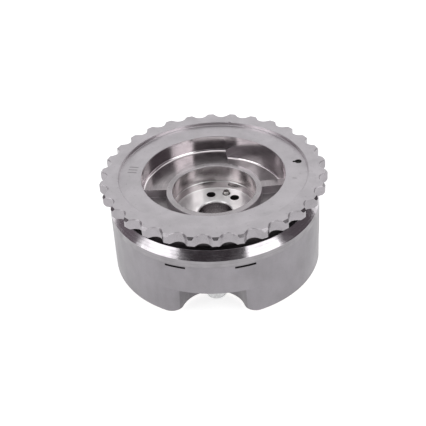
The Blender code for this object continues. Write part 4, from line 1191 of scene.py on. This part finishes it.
def around(azimuth, elevation, distance):
    """Place at this azimuth from the camera's side, counted to the right as the camera sees it."""
    angle = CAMERA_AZIMUTH + azimuth
    rise = math.radians(elevation)
    x, y = polar(distance * math.cos(rise), angle)
    return Vector((x, y, distance * math.sin(rise)))


def aim(thing, azimuth, elevation, distance):
    """Puts a lamp or a panel there and turns it to the object."""
    place = around(azimuth, elevation, distance)
    thing.location = place
    thing.rotation_euler = (LOOKED_AT - place).to_track_quat("-Z", "Y").to_euler()


def softbox(name, azimuth, elevation, distance, width, height, power):
    data = bpy.data.lights.new(name, "AREA")
    data.shape = "RECTANGLE"
    data.size = width
    data.size_y = height
    data.energy = power
    aim(new_object(name, data), azimuth, elevation, distance)


def flat_panel(name, width, depth):
    mesh = bmesh.new()
    corners = rectangle(-width / 2.0, width / 2.0, -depth / 2.0, depth / 2.0)
    mesh.faces.new([mesh.verts.new((x, y, 0.0)) for x, y in corners])
    return make_object(name, mesh)


def flag(name, azimuth, elevation, distance, width, height, shade):
    """Dark cloth panel that metal reflects; the camera doesn't see it."""
    panel = flat_panel(name, width, height)
    material, tree, shader = new_finish(name + "_cloth")
    glow = add(tree, "Emission", {"Color": FLAG_TINT, "Strength": shade})
    tree.links.new(glow.outputs["Emission"], tree.nodes["Material Output"].inputs["Surface"])
    panel.data.materials.append(material)
    aim(panel, azimuth, elevation, distance)
    panel.visible_camera = False
    panel.visible_diffuse = False
    panel.visible_shadow = False


def seen_directly(tree):
    """1 where a ray comes from the camera, or from metal or glass."""
    path = add(tree, "LightPath")
    either = plus(tree, path.outputs["Is Camera Ray"], path.outputs["Is Glossy Ray"])
    total = plus(tree, either, path.outputs["Is Transmission Ray"])
    return calculate(tree, "MINIMUM", total, 1.0)


def make_floor():
    floor = flat_panel("floor", FLOOR_WIDTH, FLOOR_WIDTH)
    floor.location.z = -FLOOR_DROP
    material, tree, shader = new_finish("floor_paper")
    shader.inputs["Base Color"].default_value = PAPER
    shader.inputs["Roughness"].default_value = 0.9
    shader.inputs["Emission Color"].default_value = WHITE
    glow = times(tree, seen_directly(tree), PAPER_GLOW)
    tree.links.new(glow, shader.inputs["Emission Strength"])
    floor.data.materials.append(material)


def make_world():
    world = bpy.data.worlds.new("studio")
    bpy.context.scene.world = world
    world.use_nodes = True
    tree = world.node_tree
    background = tree.nodes["Background"]
    background.inputs["Color"].default_value = WHITE
    level = remap(tree, seen_directly(tree), 0.0, 1.0, ROOM_LIGHT, 1.0)
    tree.links.new(level, background.inputs["Strength"])


def make_camera():
    """Camera at the photograph's place: turned about the object, tipped down and rolled a little."""
    raised = Matrix.Translation((0.0, 0.0, CAMERA_PLANE))
    turned_about = Matrix.Rotation(math.radians(CAMERA_AZIMUTH + 90.0), 4, "Z")
    tipped = Matrix.Rotation(math.radians(90.0 - CAMERA_ELEVATION), 4, "X")
    rolled = Matrix.Rotation(math.radians(-CAMERA_ROLL), 4, "Z")
    back = Matrix.Translation((0.0, CAMERA_DOWN, CAMERA_DISTANCE))
    data = bpy.data.cameras.new("camera")
    data.lens = CAMERA_LENS
    data.sensor_width = SENSOR_WIDTH
    data.clip_start = 0.01
    camera = new_object("camera", data)
    camera.matrix_world = raised @ turned_about @ tipped @ rolled @ back
    bpy.context.scene.camera = camera


make_camera()
make_world()
make_floor()
softbox("key_left", -64.0, 34.0, 1.1, 0.7, 0.7, 1.6)
softbox("key_right", 49.0, 34.0, 1.1, 0.62, 0.7, 1.6)
flag("flag_camera", -7.0, 36.0, 0.9, 1.05, 0.7, 0.05)
flag("flag_left", -110.0, 24.0, 0.9, 0.7, 0.9, 0.20)
flag("flag_right", 95.0, 24.0, 0.9, 0.8, 0.9, 0.12)

bpy.context.scene.view_settings.view_transform = "Standard"
